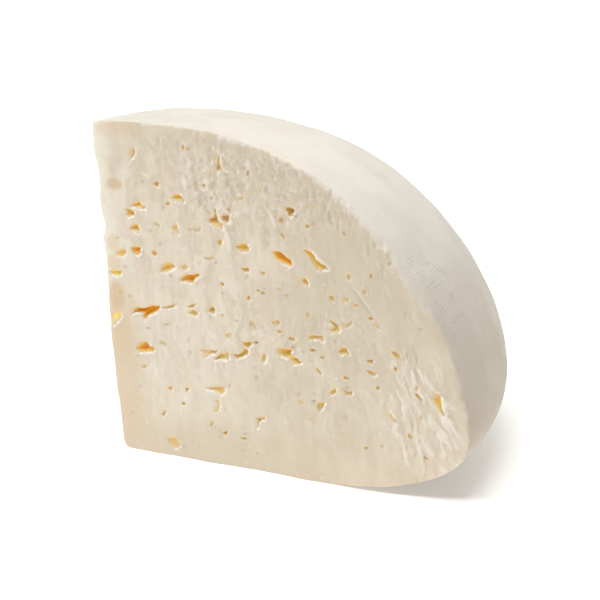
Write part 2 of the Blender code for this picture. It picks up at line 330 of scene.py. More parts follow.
class Recipe:
    # a material's nodes, added one by one

    def __init__(self, name):
        self.material = bpy.data.materials.new(name)
        self.material.use_nodes = True
        self.tree = self.material.node_tree
        self.shader = self.tree.nodes["Principled BSDF"]
        self.place = self.add("ShaderNodeTexCoord").outputs["Object"]

    def feed(self, node, inputs):
        # sockets and plain values into a node's inputs, by name or number
        for name, value in inputs.items():
            if isinstance(value, bpy.types.NodeSocket):
                self.tree.links.new(value, node.inputs[name])
            else:
                node.inputs[name].default_value = value

    def add(self, kind, inputs=None, **settings):
        node = self.tree.nodes.new(kind)
        for setting, value in settings.items():
            setattr(node, setting, value)
        self.feed(node, inputs or {})
        return node

    def sums(self, operation, *values):
        return self.add("ShaderNodeMath", dict(enumerate(values)), operation=operation).outputs[0]

    def times(self, first, *others):
        for other in others:
            first = self.sums("MULTIPLY", first, other)
        return first

    def swing(self, value, reach, on):
        # a noise's swing to both sides, put on another value
        return self.sums("MULTIPLY_ADD", self.sums("SUBTRACT", value, 0.5), reach, on)

    def vector(self, operation, first, second=(0, 0, 0), output=0):
        node = self.add("ShaderNodeVectorMath", {0: first, 1: second}, operation=operation)
        return node.outputs[output]

    def noise(self, span, detail=2.0, shift=(0, 0, 0), roughness=0.5, stretch=None):
        # patches of about this span
        place = self.vector("MULTIPLY", self.place, stretch) if stretch else self.place
        inputs = {"Vector": self.vector("ADD", place, shift), "Scale": 1 / span}
        inputs.update({"Detail": detail, "Roughness": roughness})
        return self.add("ShaderNodeTexNoise", inputs).outputs["Fac"]

    def between(self, value, low, high, most=1.0, least=0.0):
        # how far a value has come from low to high, turned into a share from least to most
        inputs = dict(enumerate((value, low, high, least, most)))
        return self.add("ShaderNodeMapRange", inputs, interpolation_type="SMOOTHSTEP").outputs[0]

    def mix(self, share, *colours):
        first, second = (c if isinstance(c, bpy.types.NodeSocket) else (*c, 1.0) for c in colours)
        return self.add("ShaderNodeMix", {0: share, 6: first, 7: second}, data_type="RGBA").outputs[2]

    def bump(self, height, distance, strength=1.0, below=None):
        inputs = {"Strength": strength, "Distance": distance, "Height": height}
        if below:
            inputs["Normal"] = below
        return self.add("ShaderNodeBump", inputs).outputs["Normal"]

    def noted(self, name):
        # what noteFinish wrote at the points
        return self.add("ShaderNodeAttribute", attribute_name=name).outputs["Fac"]

    def sources(self, look):
        # what a look's layers follow: places from the foot of the thin edge, noises and ramps
        local = self.vector("SUBTRACT", self.place, tuple(thinEdge))
        parts = self.add("ShaderNodeSeparateXYZ", {0: local}).outputs
        level = self.vector("MULTIPLY", local, (1, 1, 0))
        found = {"local": local, "X": parts["X"], "Y": parts["Y"], "height": parts["Z"]}
        found["away"] = self.vector("LENGTH", level, output="Value")
        for name, settings in look["noises"].items():
            found[name] = self.noise(*settings)
        for name, (perAway, perHeight, perWander) in look["ramps"].items():
            # the wobble is slow, so that no change of colour follows a ruler
            ramp = self.sums("MULTIPLY", found["height"], perHeight)
            ramp = self.swing(found["wobble"], perWander * look["wander"], ramp)
            found[name] = self.sums("MULTIPLY_ADD", found["away"], perAway, ramp)
        return found

    def layered(self, colour, look, found):
        # a look's colours laid over this one; a source that isn't found is one that was noted
        for name, *terms in look["layers"]:
            shares = []
            for source, *reach in terms:
                if source not in found:
                    found[source] = self.noted(source)
                shares.append(self.between(found[source], *reach) if reach else found[source])
            colour = self.mix(self.times(*shares), colour, look[name])
        return colour

    def fineBumps(self, look):
        return self.bump(self.noise(*look["bumps"]), *look["bumpDepth"])

    def finish(self, colour, normal, look):
        roughness = look["roughness"]
        if isinstance(roughness, tuple):
            roughness = self.between(self.noise(look["roughSpan"]), 0.3, 0.7, *roughness)
        inputs = {
            "Base Color": colour,
            "Roughness": roughness,
            "IOR": pasteLook["refraction"],
            "Subsurface Weight": look["glow"],
            "Subsurface Radius": pasteLook["glowColour"],
            "Subsurface Scale": look["glowReach"],
        }
        if normal:
            inputs["Normal"] = normal
        self.feed(self.shader, inputs)
        return self.material


def pasteColour(recipe):
    look = pasteLook
    found = recipe.sources(look)
    found["tone"] = recipe.swing(found["broad"], look["broadSwing"], recipe.noted("tone"))
    return recipe.layered(look["beige"], look, found)


def rindColour(recipe):
    found = recipe.sources(rindLook)
    found["weave"], found["pressed"] = clothMark(recipe, found)
    return recipe.layered(rindLook["ivory"], rindLook, found)


def skinned(recipe):
    # the paste's colour and the rind's, by how much rind lies over the paste
    return recipe.mix(recipe.noted("skin"), pasteColour(recipe), rindColour(recipe))


def makePaste():
    recipe = Recipe("brynzaPaste")
    return recipe.finish(skinned(recipe), recipe.fineBumps(pasteLook), pasteLook)


def makeHollow():
    recipe = Recipe("brynzaEyes")
    found = recipe.sources(hollowLook)
    found["hollow"] = recipe.noted("hollow")
    found["deep"] = recipe.between(found["hollow"], *hollowLook["deep"])
    return recipe.finish(recipe.layered(pasteColour(recipe), hollowLook, found), None, hollowLook)


def clothMark(recipe, found):
    # the cloth's threads, and how plainly they show: it lay flat on the crown and was gathered
    # down the sides
    look = rindLook
    drop = recipe.sums("SUBTRACT", headShape["crownHeight"], found["height"])
    laid = recipe.sums("MULTIPLY_ADD", drop, look["sideStretch"], found["away"])
    spread = recipe.sums("DIVIDE", laid, recipe.sums("MAXIMUM", found["away"], 1 * mm))
    cloth = {side: recipe.times(found[side], spread) for side in ("X", "Y")}
    turned = recipe.add("ShaderNodeVectorRotate", {
        "Vector": recipe.add("ShaderNodeCombineXYZ", cloth).outputs[0],
        "Angle": math.radians(look["threadTurn"]),
    }, rotation_type="Z_AXIS")
    wave = {"Vector": turned.outputs[0], "Scale": math.pi / (10 * look["threadGap"]), **look["threadWave"]}
    first, second = (
        recipe.add("ShaderNodeTexWave", wave, bands_direction=side).outputs["Fac"] for side in ("X", "Y")
    )
    weave = recipe.times(first, recipe.sums("MULTIPLY_ADD", second, *look["crossThreads"]))
    fromPressed = recipe.vector("DISTANCE", found["local"], tuple(look["pressed"]), output="Value")
    plainest = recipe.between(fromPressed, *look["pressedReach"])
    elsewhere = recipe.between(found["presses"], *look["pressedElsewhere"])
    broken = recipe.between(found["breaks"], *look["pressedBreaks"])
    return weave, recipe.times(recipe.sums("MAXIMUM", elsewhere, plainest), broken)


def makeRind():
    look = rindLook
    recipe = Recipe("brynzaRind")
    cloth = recipe.times(*clothMark(recipe, recipe.sources(look)))
    normal = recipe.bump(cloth, look["threadDepth"], below=recipe.fineBumps(look))
    return recipe.finish(skinned(recipe), normal, look)


# the head, drained in its cloth

headShape = {
    "radius": 110 * mm,
    "crownHeight": 95 * mm,
    "bellyHeight": 19.5 * mm,
    "bellyRise": 9 * mm,
    "footRadius": 58 * mm,
    "crownPower": 3.0,
    "shoulderPower": 1.58,
    "footPower": 2.3,
    "crownDip": 0.2 * mm,
    "crownDipRadius": 30 * mm,
    # lumps, dents and puckers of the rind: how high, how wide, and how far sunk
    "lumps": ((0.4 * mm, 34 * mm, 0.0), (0.16 * mm, 9 * mm, 0.4), (0.07 * mm, 3.4 * mm, 0.5)),
    "rindCell": 1.4 * mm,
    "baseCell": 4 * mm,
    "startTurn": -8,
    "wholeTurn": 102,
    "turnSteps": 140,
    "outlineSteps": 900,
    "heelWide": 5 * mm,
    "heelTop": 94.7 * mm,
}
crownRise = headShape["crownHeight"] - headShape["bellyHeight"]


def crownPoint(turn):
    shape = headShape
    across = shape["radius"] * math.sin(turn) ** (2 / shape["crownPower"])
    rise = crownRise * max(0.0, math.cos(turn)) ** (2 / shape["shoulderPower"])
    return across, shape["bellyHeight"] + rise


def footPoint(turn):
    shape = headShape
    bulge = shape["radius"] - shape["footRadius"]
    across = bulge * max(0.0, math.cos(turn)) ** (2 / shape["footPower"])
    drop = shape["bellyHeight"] * math.sin(turn) ** (2 / shape["footPower"])
    return shape["footRadius"] + across, shape["bellyHeight"] - drop


def evenlySpaced(points, gap):
    # the same outline, with its points this far apart
    spaced = [points[0]]
    walked = 0.0
    for here, there in zip(points, points[1:]):
        stretch = math.dist(here, there)
        while walked + stretch >= gap:
            share = (gap - walked) / stretch
            here = tuple(a + share * (b - a) for a, b in zip(here, there))
            stretch = math.dist(here, there)
            spaced.append(here)
            walked = 0.0
        walked += stretch
    if math.dist(spaced[-1], points[-1]) < gap / 3:
        spaced.pop()
    return spaced + [points[-1]]


def headOutline():
    shape = headShape
    turns = [math.pi / 2 * step / shape["outlineSteps"] for step in range(shape["outlineSteps"] + 1)]
    outside = [crownPoint(turn) for turn in turns] + [footPoint(turn) for turn in turns[1:]]
    base = [(shape["footRadius"], 0.0), (0.0, 0.0)]
    return evenlySpaced(outside, shape["rindCell"]) + evenlySpaced(base, shape["baseCell"])[1:]


def spinHead():
    shape = headShape
    outline = headOutline()
    first = math.radians(shape["startTurn"])
    bpy.ops.mesh.primitive_plane_add(size=mm, location=(0, 0, outline[0][1]))
    head = bpy.context.object
    startEditing(head)
    bpy.ops.mesh.merge(type="CENTER")
    for here, there in zip(outline, outline[1:]):
        out = there[0] - here[0]
        step = (out * math.cos(first), out * math.sin(first), there[1] - here[1])
        bpy.ops.mesh.extrude_region_move(TRANSFORM_OT_translate={"value": step})
    # half the head's section as one face, swung round the axis
    bpy.ops.mesh.select_all(action="SELECT")
    bpy.ops.mesh.edge_face_add()
    bpy.ops.mesh.spin(
        steps=shape["turnSteps"],
        angle=-math.radians(shape["wholeTurn"]),
        center=(0, 0, 0),
        axis=(0, 0, 1),
    )
    bpy.ops.mesh.select_all(action="SELECT")
    bpy.ops.mesh.remove_doubles(threshold=0.02 * mm)
    faceOutwards()
    bpy.ops.object.transform_apply(location=True, rotation=True, scale=True)
    return head


def joinOrCut(thing, name, **settings):
    pickOnly(thing)
    modifier = thing.modifiers.new(name, "BOOLEAN")
    modifier.solver = "MANIFOLD"
    for setting, value in settings.items():
        setattr(modifier, setting, value)
    bpy.ops.object.modifier_apply(modifier=name)


def addHeel(head):
    # a little more cheese behind the axis, for the two cuts to shape the thin edge from
    wide, top = headShape["heelWide"], headShape["heelTop"]
    bpy.ops.mesh.primitive_cube_add(size=1)
    heel = bpy.context.object
    heel.data.materials.append(head.data.materials[0])
    startEditing(heel)
    bpy.ops.transform.resize(value=(wide, wide, top))
    bpy.ops.transform.translate(value=(0, 0, top / 2))
    stopEditing()
    joinOrCut(head, "heel", operation="UNION", object=heel)
    bpy.data.objects.remove(heel, do_unlink=True)


def settled(place):
    # the widest line climbs round the head, the crown sinks, and the rind is lumpy off the base
    shape = headShape
    above = place.z > shape["bellyHeight"]
    share = (shape["crownHeight"] - place.z) / crownRise if above else place.z / shape["bellyHeight"]
    quarter = math.sin(math.atan2(place.y, place.x))
    lift = shape["bellyRise"] * share * quarter
    if above:
        away = math.hypot(place.x, place.y) / shape["crownDipRadius"] - 1
        lift -= shape["crownDip"] * quarter * max(0.0, 1 - away * away)
    swell = sum(high * (noise.noise(place / wide) - sunk) for high, wide, sunk in shape["lumps"])
    offBase = min(1.0, place.z / shape["bellyHeight"])
    out = Vector((place.x / shape["radius"], place.y / shape["radius"], place.z / shape["crownHeight"]))
    return place + Vector((0, 0, lift)) + out * swell * offBase


def settleHead(head):
    for point in head.data.vertices:
        point.co = settled(point.co.copy())


def rimOutline(turn):
    # where the rind meets a cut at this turn, to measure distances from
    rim = []
    for across, height in headOutline():
        place = settled(Vector((across * math.cos(turn), across * math.sin(turn), height)))
        rim.append((math.hypot(place.x, place.y), place.z))
    return EdgeFinder(rim[:-1], rim[1:])


class EdgeFinder:
    # how far a place in a cut lies outside the nearest of these short stretches

    def __init__(self, starts, ends, owners=None):
        self.owners = owners
        self.stretches = []
        self.tree = KDTree(len(starts))
        for number, (start, end) in enumerate(zip(starts, ends)):
            run = (end[0] - start[0], end[1] - start[1])
            long = max(math.hypot(*run), 1e-9)
            middle = ((start[0] + end[0]) / 2, (start[1] + end[1]) / 2)
            self.stretches.append((middle, (-run[1] / long, run[0] / long)))
            self.tree.insert((*middle, 0), number)
        self.tree.balance()

    def find(self, along, height):
        # distance outwards, which way outwards is, and the stretch's number
        number = self.tree.find((along, height, 0))[1]
        middle, out = self.stretches[number]
        return (along - middle[0]) * out[0] + (height - middle[1]) * out[1], out, number


# the eyes

# Eyes with an outline of their own: how deep, then the corners going round, all in mm, each
# corner as (from the thin edge, above the base).
tornEyes = (
    # under the crown
    (0.8, (40.1, 85.4), (40.7, 86.3), (41.3, 86.2), (41.1, 85.3), (40.8, 84.5), (41.4, 83.7), (41.5, 83.2),
     (40.9, 82.9), (40.1, 83.0), (40.0, 83.8), (39.9, 84.6)),
    (1.0, (12.4, 87.7), (13.3, 88.0), (13.6, 87.3), (13.4, 86.3), (12.8, 85.4), (12.0, 85.1), (12.3, 86.2)),
    (1.3, (18.7, 78.9), (19.2, 78.6), (19.9, 79.0), (20.4, 78.5), (20.3, 77.8), (19.4, 77.7), (18.8, 78.0)),
    (0.9, (34.4, 78.8), (35.1, 79.3), (35.9, 79.0), (36.2, 78.5), (35.8, 78.0), (35.0, 78.2)),
    (0.25, (45.5, 75.8), (46.4, 76.5), (47.5, 76.7), (48.3, 76.3), (47.6, 75.5), (46.4, 75.3)),
    (1.5, (24.5, 74.8), (25.4, 75.5), (26.5, 76.0), (27.4, 75.7), (27.7, 75.1), (28.6, 74.4), (28.2, 73.7),
     (27.2, 73.9), (26.2, 74.0), (25.4, 74.2)),
    (1.7, (11.1, 72.3), (12.1, 73.0), (13.1, 73.8), (13.7, 73.1), (14.3, 72.3), (15.2, 71.8), (14.8, 71.4),
     (13.6, 71.4), (12.3, 71.6), (11.1, 71.9)),
    (1.5, (60.9, 74.0), (61.5, 74.3), (62.2, 73.9), (63.0, 73.9), (63.4, 73.5), (62.9, 72.6), (62.1, 71.9),
     (61.6, 72.3), (61.4, 73.0), (60.8, 73.4)),
    (0.35, (58.3, 70.7), (59.0, 71.5), (59.7, 71.3), (60.0, 70.5), (59.5, 69.9), (58.7, 70.0)),
    (0.7, (42.1, 73.1), (42.7, 73.0), (43.5, 72.6), (43.8, 72.1), (43.2, 71.7), (42.8, 72.2), (42.2, 72.5)),
    (1.4, (38.0, 72.3), (38.7, 72.7), (38.9, 72.2), (38.7, 71.4), (39.1, 70.9), (39.5, 70.1), (39.8, 69.3),
     (40.3, 68.4), (40.7, 67.5), (39.9, 67.6), (39.0, 68.1), (37.9, 68.2), (36.8, 68.6), (36.2, 69.2),
     (36.4, 69.8), (37.3, 70.0), (37.8, 70.4), (38.2, 71.1)),
    (1.1, (40.9, 70.7), (41.9, 71.0), (42.9, 71.1), (42.9, 70.3), (42.7, 69.6), (42.0, 69.0), (41.4, 69.4),
     (41.0, 69.9)),
    (1.7, (8.3, 70.9), (9.2, 70.9), (10.1, 70.8), (11.1, 70.2), (11.5, 69.7), (10.6, 69.2), (9.6, 68.9),
     (8.8, 69.2), (8.6, 70.1)),
    # round the heart
    (0.45, (16.8, 67.3), (18.6, 68.0), (19.9, 67.3), (19.6, 66.4), (18.6, 66.9)),
    (0.45, (28.5, 66.9), (29.7, 66.7), (31.0, 66.7), (32.7, 67.3), (33.4, 67.2), (33.1, 66.3), (31.6, 66.0),
     (30.3, 65.9), (29.3, 66.1)),
    (1.3, (23.6, 66.7), (24.5, 67.5), (25.2, 67.8), (25.5, 67.1), (25.7, 66.0), (26.1, 65.5), (25.6, 65.1),
     (24.8, 65.6), (23.8, 66.2)),
    (1.5, (9.4, 65.7), (10.3, 66.6), (11.3, 66.9), (12.2, 66.6), (12.6, 65.6), (12.6, 64.8), (11.9, 64.5),
     (10.9, 64.7), (9.7, 65.1)),
    (1.5, (44.2, 62.6), (45.3, 63.4), (46.6, 63.8), (47.8, 63.4), (48.3, 62.5), (48.0, 61.8), (46.9, 61.6),
     (45.9, 61.5), (45.0, 62.0)),
    (2.8, (55.7, 62.1), (56.9, 62.4), (57.8, 62.1), (58.8, 61.6), (60.1, 60.8), (61.1, 60.2), (61.4, 59.3),
     (60.5, 58.8), (59.3, 59.2), (58.0, 59.6), (56.8, 60.2), (56.2, 61.1)),
    (1.9, (65.2, 63.2), (66.7, 63.1), (67.8, 62.7), (68.7, 61.8), (69.1, 60.8), (70.2, 60.1), (71.5, 59.6),
     (72.3, 58.9), (71.2, 58.9), (70.0, 58.5), (68.9, 58.5), (68.1, 59.4), (67.4, 60.6), (66.7, 61.7),
     (65.9, 62.5)),
    (1.1, (3.6, 57.6), (3.9, 58.7), (5.4, 59.3), (6.7, 59.7), (7.1, 59.0), (6.7, 58.1), (5.7, 57.5),
     (4.4, 57.3)),
    (2.0, (9.1, 60.1), (10.5, 60.4), (12.3, 60.3), (12.2, 59.1), (11.7, 58.4), (10.6, 58.3), (9.5, 58.7)),
    (1.3, (16.4, 59.1), (16.9, 59.8), (17.6, 59.8), (18.1, 59.1), (17.6, 58.5), (16.8, 58.7)),
    (0.4, (34.1, 59.4), (35.4, 59.2), (36.7, 59.8), (37.1, 59.1), (36.4, 58.4), (34.9, 58.6)),
    (1.3, (45.6, 57.2), (46.5, 57.0), (47.4, 57.2), (47.8, 56.6), (47.3, 56.1), (46.4, 56.1), (45.7, 56.7)),
    (1.6, (64.1, 55.9), (64.7, 55.7), (65.4, 55.7), (66.0, 54.8), (65.8, 54.0), (64.8, 54.3), (64.1, 55.0)),
    (1.1, (77.6, 57.7), (78.2, 58.0), (78.7, 57.4), (78.8, 56.9), (78.1, 56.5), (77.7, 57.1)),
    (1.4, (18.7, 54.6), (19.6, 55.9), (20.9, 56.5), (22.2, 56.6), (23.2, 56.5), (23.8, 55.9), (23.1, 55.4),
     (22.0, 54.8), (20.6, 54.2), (19.2, 54.0)),
    (0.8, (25.2, 55.8), (26.3, 56.5), (27.4, 56.8), (28.4, 56.1), (27.5, 55.3), (26.5, 55.0)),
    (2.8, (25.0, 52.6), (26.3, 53.4), (28.0, 53.9), (29.7, 53.9), (30.7, 54.3), (31.9, 54.2), (31.0, 53.6),
     (30.2, 53.3), (29.9, 52.6), (29.3, 51.7), (28.2, 51.8), (26.8, 51.9), (25.3, 51.8)),
    (1.2, (0.9, 52.5), (1.7, 53.1), (3.2, 53.2), (4.5, 52.7), (4.0, 52.0), (2.6, 51.6), (1.6, 51.8)),
    # across the middle
    (2.9, (7.1, 41.0), (7.7, 42.4), (8.9, 42.9), (10.7, 42.8), (12.4, 43.1), (14.3, 44.0), (15.6, 43.8),
     (17.0, 44.2), (16.6, 43.1), (15.3, 42.2), (13.8, 41.5), (12.4, 40.9), (12.2, 39.9), (11.1, 39.6),
     (10.4, 40.3), (10.8, 41.2), (9.7, 41.5), (8.5, 41.5)),
    (0.8, (18.1, 43.7), (19.6, 44.2), (21.6, 44.9), (22.8, 45.0), (21.9, 44.1), (20.0, 43.7)),
    (0.8, (26.8, 44.9), (27.8, 45.4), (29.5, 45.8), (28.6, 45.0), (27.9, 44.7)),
    (0.9, (26.8, 43.0), (27.7, 43.8), (28.8, 44.1), (29.9, 43.4), (29.6, 42.8), (28.3, 42.5)),
    (1.6, (33.6, 44.7), (34.5, 45.4), (35.4, 45.3), (35.8, 44.6), (35.3, 43.8), (34.4, 43.7), (33.6, 44.1)),
    (0.8, (71.9, 51.8), (72.8, 51.9), (73.4, 51.4), (73.5, 50.8), (72.8, 50.4), (72.0, 51.0)),
    (0.6, (75.7, 52.3), (76.4, 52.3), (77.0, 51.8), (77.8, 51.5), (77.6, 50.9), (76.7, 50.7), (76.0, 51.5)),
    (0.5, (78.8, 50.0), (79.5, 50.5), (80.4, 50.4), (81.1, 50.0), (80.4, 49.7), (79.3, 49.6)),
    (0.8, (82.0, 54.3), (82.6, 54.5), (83.0, 53.8), (82.7, 53.3), (82.1, 53.3)),
    (0.5, (64.7, 46.7), (65.6, 47.0), (65.8, 46.1), (65.4, 45.2), (64.8, 45.3), (64.6, 46.0)),
    (1.2, (71.4, 45.3), (72.1, 45.2), (73.2, 44.7), (74.2, 43.9), (74.6, 43.3), (74.1, 42.5), (72.9, 42.3),
     (71.8, 42.3), (71.5, 42.9), (72.6, 43.2), (73.1, 43.5), (72.7, 44.0), (71.6, 44.5)),
    (0.5, (75.5, 45.0), (76.2, 45.2), (76.7, 44.7), (77.4, 45.3), (78.2, 45.7), (78.5, 45.3), (77.5, 44.4),
     (76.5, 43.8), (75.8, 44.1)),
    (0.9, (83.3, 47.2), (83.9, 47.5), (84.5, 46.9), (84.3, 46.4), (83.4, 46.6)),
    (0.8, (85.2, 45.4), (85.7, 46.0), (86.3, 45.5), (86.6, 44.9), (85.8, 44.6), (85.4, 44.8)),
    (0.5, (46.5, 41.8), (47.1, 42.6), (48.1, 42.4), (48.6, 41.4), (48.8, 40.7), (47.9, 40.6), (47.1, 41.1)),
    (0.5, (54.0, 42.9), (54.7, 43.6), (55.8, 43.6), (56.3, 43.1), (55.8, 42.3), (54.8, 42.1)),
    (1.0, (65.1, 40.3), (65.8, 40.8), (66.8, 40.5), (68.0, 40.7), (68.9, 40.6), (69.5, 39.9), (68.7, 39.3),
     (67.6, 39.7), (66.4, 39.7), (65.3, 39.4)),
    (1.3, (73.6, 36.9), (74.4, 38.0), (75.2, 38.5), (76.1, 37.9), (76.8, 36.8), (75.4, 36.7), (74.4, 36.5)),
    (0.5, (38.2, 37.7), (38.8, 38.4), (40.1, 38.7), (40.7, 38.4), (40.4, 37.6), (39.4, 37.1), (38.5, 37.2)),
    (1.5, (43.7, 36.9), (44.2, 36.7), (44.9, 36.5), (46.4, 36.9), (46.9, 36.3), (46.1, 35.4), (45.1, 34.9),
     (44.3, 35.3), (43.8, 36.1)),
    (1.3, (40.4, 32.6), (41.7, 32.9), (43.0, 33.1), (43.7, 33.8), (44.2, 34.5), (45.3, 34.5), (45.4, 33.8),
     (44.4, 32.9), (42.9, 32.2), (41.8, 31.7), (40.9, 32.1)),
    (1.0, (49.6, 32.7), (50.2, 33.7), (50.9, 34.0), (51.3, 33.4), (51.1, 32.4), (50.3, 31.5), (49.7, 32.0)),
    (2.1, (55.2, 35.8), (56.0, 36.0), (56.9, 35.9), (57.9, 36.3), (58.8, 36.0), (59.5, 35.7), (58.9, 35.0),
     (59.3, 34.5), (60.2, 33.9), (61.4, 33.5), (62.1, 33.0), (61.0, 32.4), (59.9, 32.4), (59.0, 33.1),
     (58.3, 33.7), (57.2, 33.7), (56.1, 34.0), (55.1, 34.8)),
    (0.8, (89.4, 38.9), (90.3, 39.0), (91.4, 38.4), (91.9, 37.4), (91.2, 37.0), (90.2, 37.8)),
    (0.8, (-0.9, 37.4), (-0.7, 39.2), (0.2, 40.6), (1.7, 41.2), (3.0, 40.8), (2.9, 39.8), (2.0, 38.8),
     (0.9, 37.8), (0.0, 37.2)),
    # towards the foot
    (0.5, (15.3, 33.0), (16.0, 33.8), (16.8, 33.8), (17.5, 32.9), (17.0, 32.3), (16.3, 32.6)),
    (2.0, (7.3, 31.0), (8.0, 31.9), (9.2, 32.6), (10.6, 32.8), (11.5, 32.4), (11.9, 31.6), (13.0, 31.5),
     (13.2, 30.7), (12.3, 30.3), (11.2, 30.3), (9.9, 29.9), (8.5, 29.8), (7.6, 30.2)),
    (1.0, (29.5, 32.3), (31.0, 32.9), (32.8, 32.7), (35.1, 33.0), (34.3, 32.3), (32.6, 31.9), (31.9, 31.1),
     (30.8, 30.8), (30.6, 31.7)),
    (1.0, (34.5, 30.6), (35.6, 32.0), (36.6, 32.7), (37.3, 32.3), (38.2, 33.2), (39.0, 32.6), (38.7, 31.2),
     (37.4, 30.9), (36.0, 31.0)),
    (0.9, (82.0, 33.2), (83.0, 33.1), (84.5, 32.5), (84.1, 31.9), (83.1, 31.8), (82.4, 32.4)),
    (1.7, (100.4, 28.2), (100.9, 29.5), (101.8, 29.7), (102.6, 28.7), (102.8, 27.2), (102.9, 25.8),
     (103.7, 24.6), (103.1, 24.1), (102.2, 25.1), (101.5, 26.5), (100.8, 27.4)),
    (0.8, (70.0, 25.5), (71.2, 26.4), (72.3, 27.1), (72.3, 26.0), (71.4, 25.3), (70.6, 25.1)),
    (0.9, (74.6, 27.6), (75.3, 27.1), (75.8, 26.6), (77.1, 26.8), (76.8, 25.9), (75.7, 25.7), (75.0, 26.2)),
    (0.7, (95.8, 28.8), (96.8, 28.4), (97.6, 27.5), (96.8, 27.2), (96.1, 27.9)),
    (1.2, (30.8, 21.6), (32.6, 22.2), (34.2, 22.5), (35.8, 22.9), (36.8, 22.5), (36.5, 21.5), (35.4, 20.7),
     (34.4, 20.9), (33.0, 21.5)),
    (1.1, (66.0, 21.0), (66.3, 22.1), (67.3, 22.4), (68.4, 22.4), (68.0, 21.5), (67.5, 20.8), (66.8, 20.1),
     (66.2, 20.4)),
    (0.9, (87.9, 22.8), (88.6, 22.4), (89.2, 21.4), (89.9, 20.9), (89.7, 20.0), (88.9, 20.4), (88.2, 21.2),
     (87.5, 22.0)),
    (0.7, (32.8, 18.9), (34.5, 18.9), (34.7, 17.5), (34.2, 16.1), (33.1, 15.4), (32.8, 16.2), (33.8, 16.9),
     (33.8, 18.0)),
    (0.5, (60.0, 21.8), (60.8, 22.3), (61.7, 22.2), (61.7, 21.5), (61.0, 21.1), (60.2, 21.2)),
    (0.8, (46.2, 15.1), (47.5, 15.5), (49.1, 15.8), (49.1, 15.2), (47.8, 14.7), (47.2, 14.0), (47.3, 13.1),
     (46.5, 12.6), (46.4, 13.6), (46.8, 14.4)),
    (0.9, (13.8, 12.0), (14.8, 12.9), (15.6, 13.0), (15.0, 11.9), (14.3, 11.5)),
    (0.6, (30.7, 10.9), (31.5, 12.5), (32.5, 12.4), (31.9, 11.1)),
    (1.1, (15.5, 5.0), (16.8, 5.3), (18.3, 5.7), (18.9, 4.7), (19.7, 4.0), (19.0, 2.9), (17.6, 2.5),
     (16.3, 3.4)),
)

# The small ones: mm from the thin edge, mm above the base, width, height, rise in degrees.
smallEyes = (
    (29.7, 88.4, 1.3, 1.6, 0), (59.2, 66.5, 1.1, 2.2, 30), (67.0, 69.6, 1.1, 1.0, 0),
    (22.9, 73.2, 1.3, 0.9, 0), (39.3, 63.7, 1.9, 1.3, 50), (96.9, 22.4, 0.8, 1.1, 0),
    (52.2, 56.3, 1.3, 1.0, -10), (39.0, 52.2, 1.4, 1.2, 0), (50.4, 51.3, 1.1, 0.8, -20),
    (51.8, 50.8, 1.0, 0.8, 0), (84.6, 58.0, 0.9, 1.0, 0), (47.2, 49.0, 1.4, 1.1, 30),
    (55.9, 40.7, 1.3, 1.0, 0), (59.6, 38.9, 2.0, 1.0, 0), (65.7, 36.5, 1.9, 0.8, 0),
    (68.6, 35.0, 1.4, 0.8, 0), (90.4, 34.6, 0.9, 1.2, 0), (83.0, 35.6, 1.6, 1.1, 0),
    (67.3, 31.2, 2.0, 0.9, -45), (75.7, 30.4, 1.6, 1.0, 0), (84.9, 28.9, 1.2, 1.2, 0),
    (96.3, 30.4, 0.9, 1.3, -20), (17.8, 20.2, 1.6, 1.4, 20), (23.6, 20.5, 1.4, 0.8, 35),
    (22.0, 16.2, 1.2, 0.9, 0), (35.8, 9.6, 1.5, 1.0, 0), (41.7, 8.9, 1.6, 0.9, -5),
    (9.0, 25.5, 1.1, 0.9, 0), (93.4, 16.9, 1.1, 1.0, 0), (80.4, 11.9, 1.1, 0.9, 0),
    (48.2, 36.9, 1.3, 0.7, 20),
)

# Ones so shallow that they are only a tan mark, in the same way.
faintEyes = (
    (52.8, 78.2, 1.8, 1.0, -25), (38.1, 43.3, 1.7, 1.0, 0), (42.4, 42.5, 1.4, 1.0, 0),
    (12.2, 37.2, 2.6, 0.9, 8), (18.0, 38.8, 2.4, 1.0, 15), (63.2, 41.5, 1.1, 1.5, 60),
    (57.0, 52.2, 1.4, 1.0, 0), (59.1, 50.7, 1.3, 1.1, 0), (62.8, 17.7, 1.3, 1.0, 0),
    (51.5, 25.4, 1.9, 0.8, 18), (4.2, 62.7, 1.9, 0.8, 0), (85.2, 13.2, 0.9, 0.8, 0),
    (89.6, 10.1, 0.9, 0.8, 0), (97.7, 11.9, 0.9, 0.8, 0), (103.5, 17.6, 0.9, 0.8, 0),
    (36.3, 16.7, 0.9, 0.8, 0), (69.0, 75.0, 1.3, 1.0, 20), (70.3, 74.3, 1.1, 0.9, 0),
    (50.0, 82.5, 0.6, 1.4, -10), (32.0, 85.5, 0.6, 1.0, 10), (31.4, 88.2, 0.8, 1.0, 0),
)

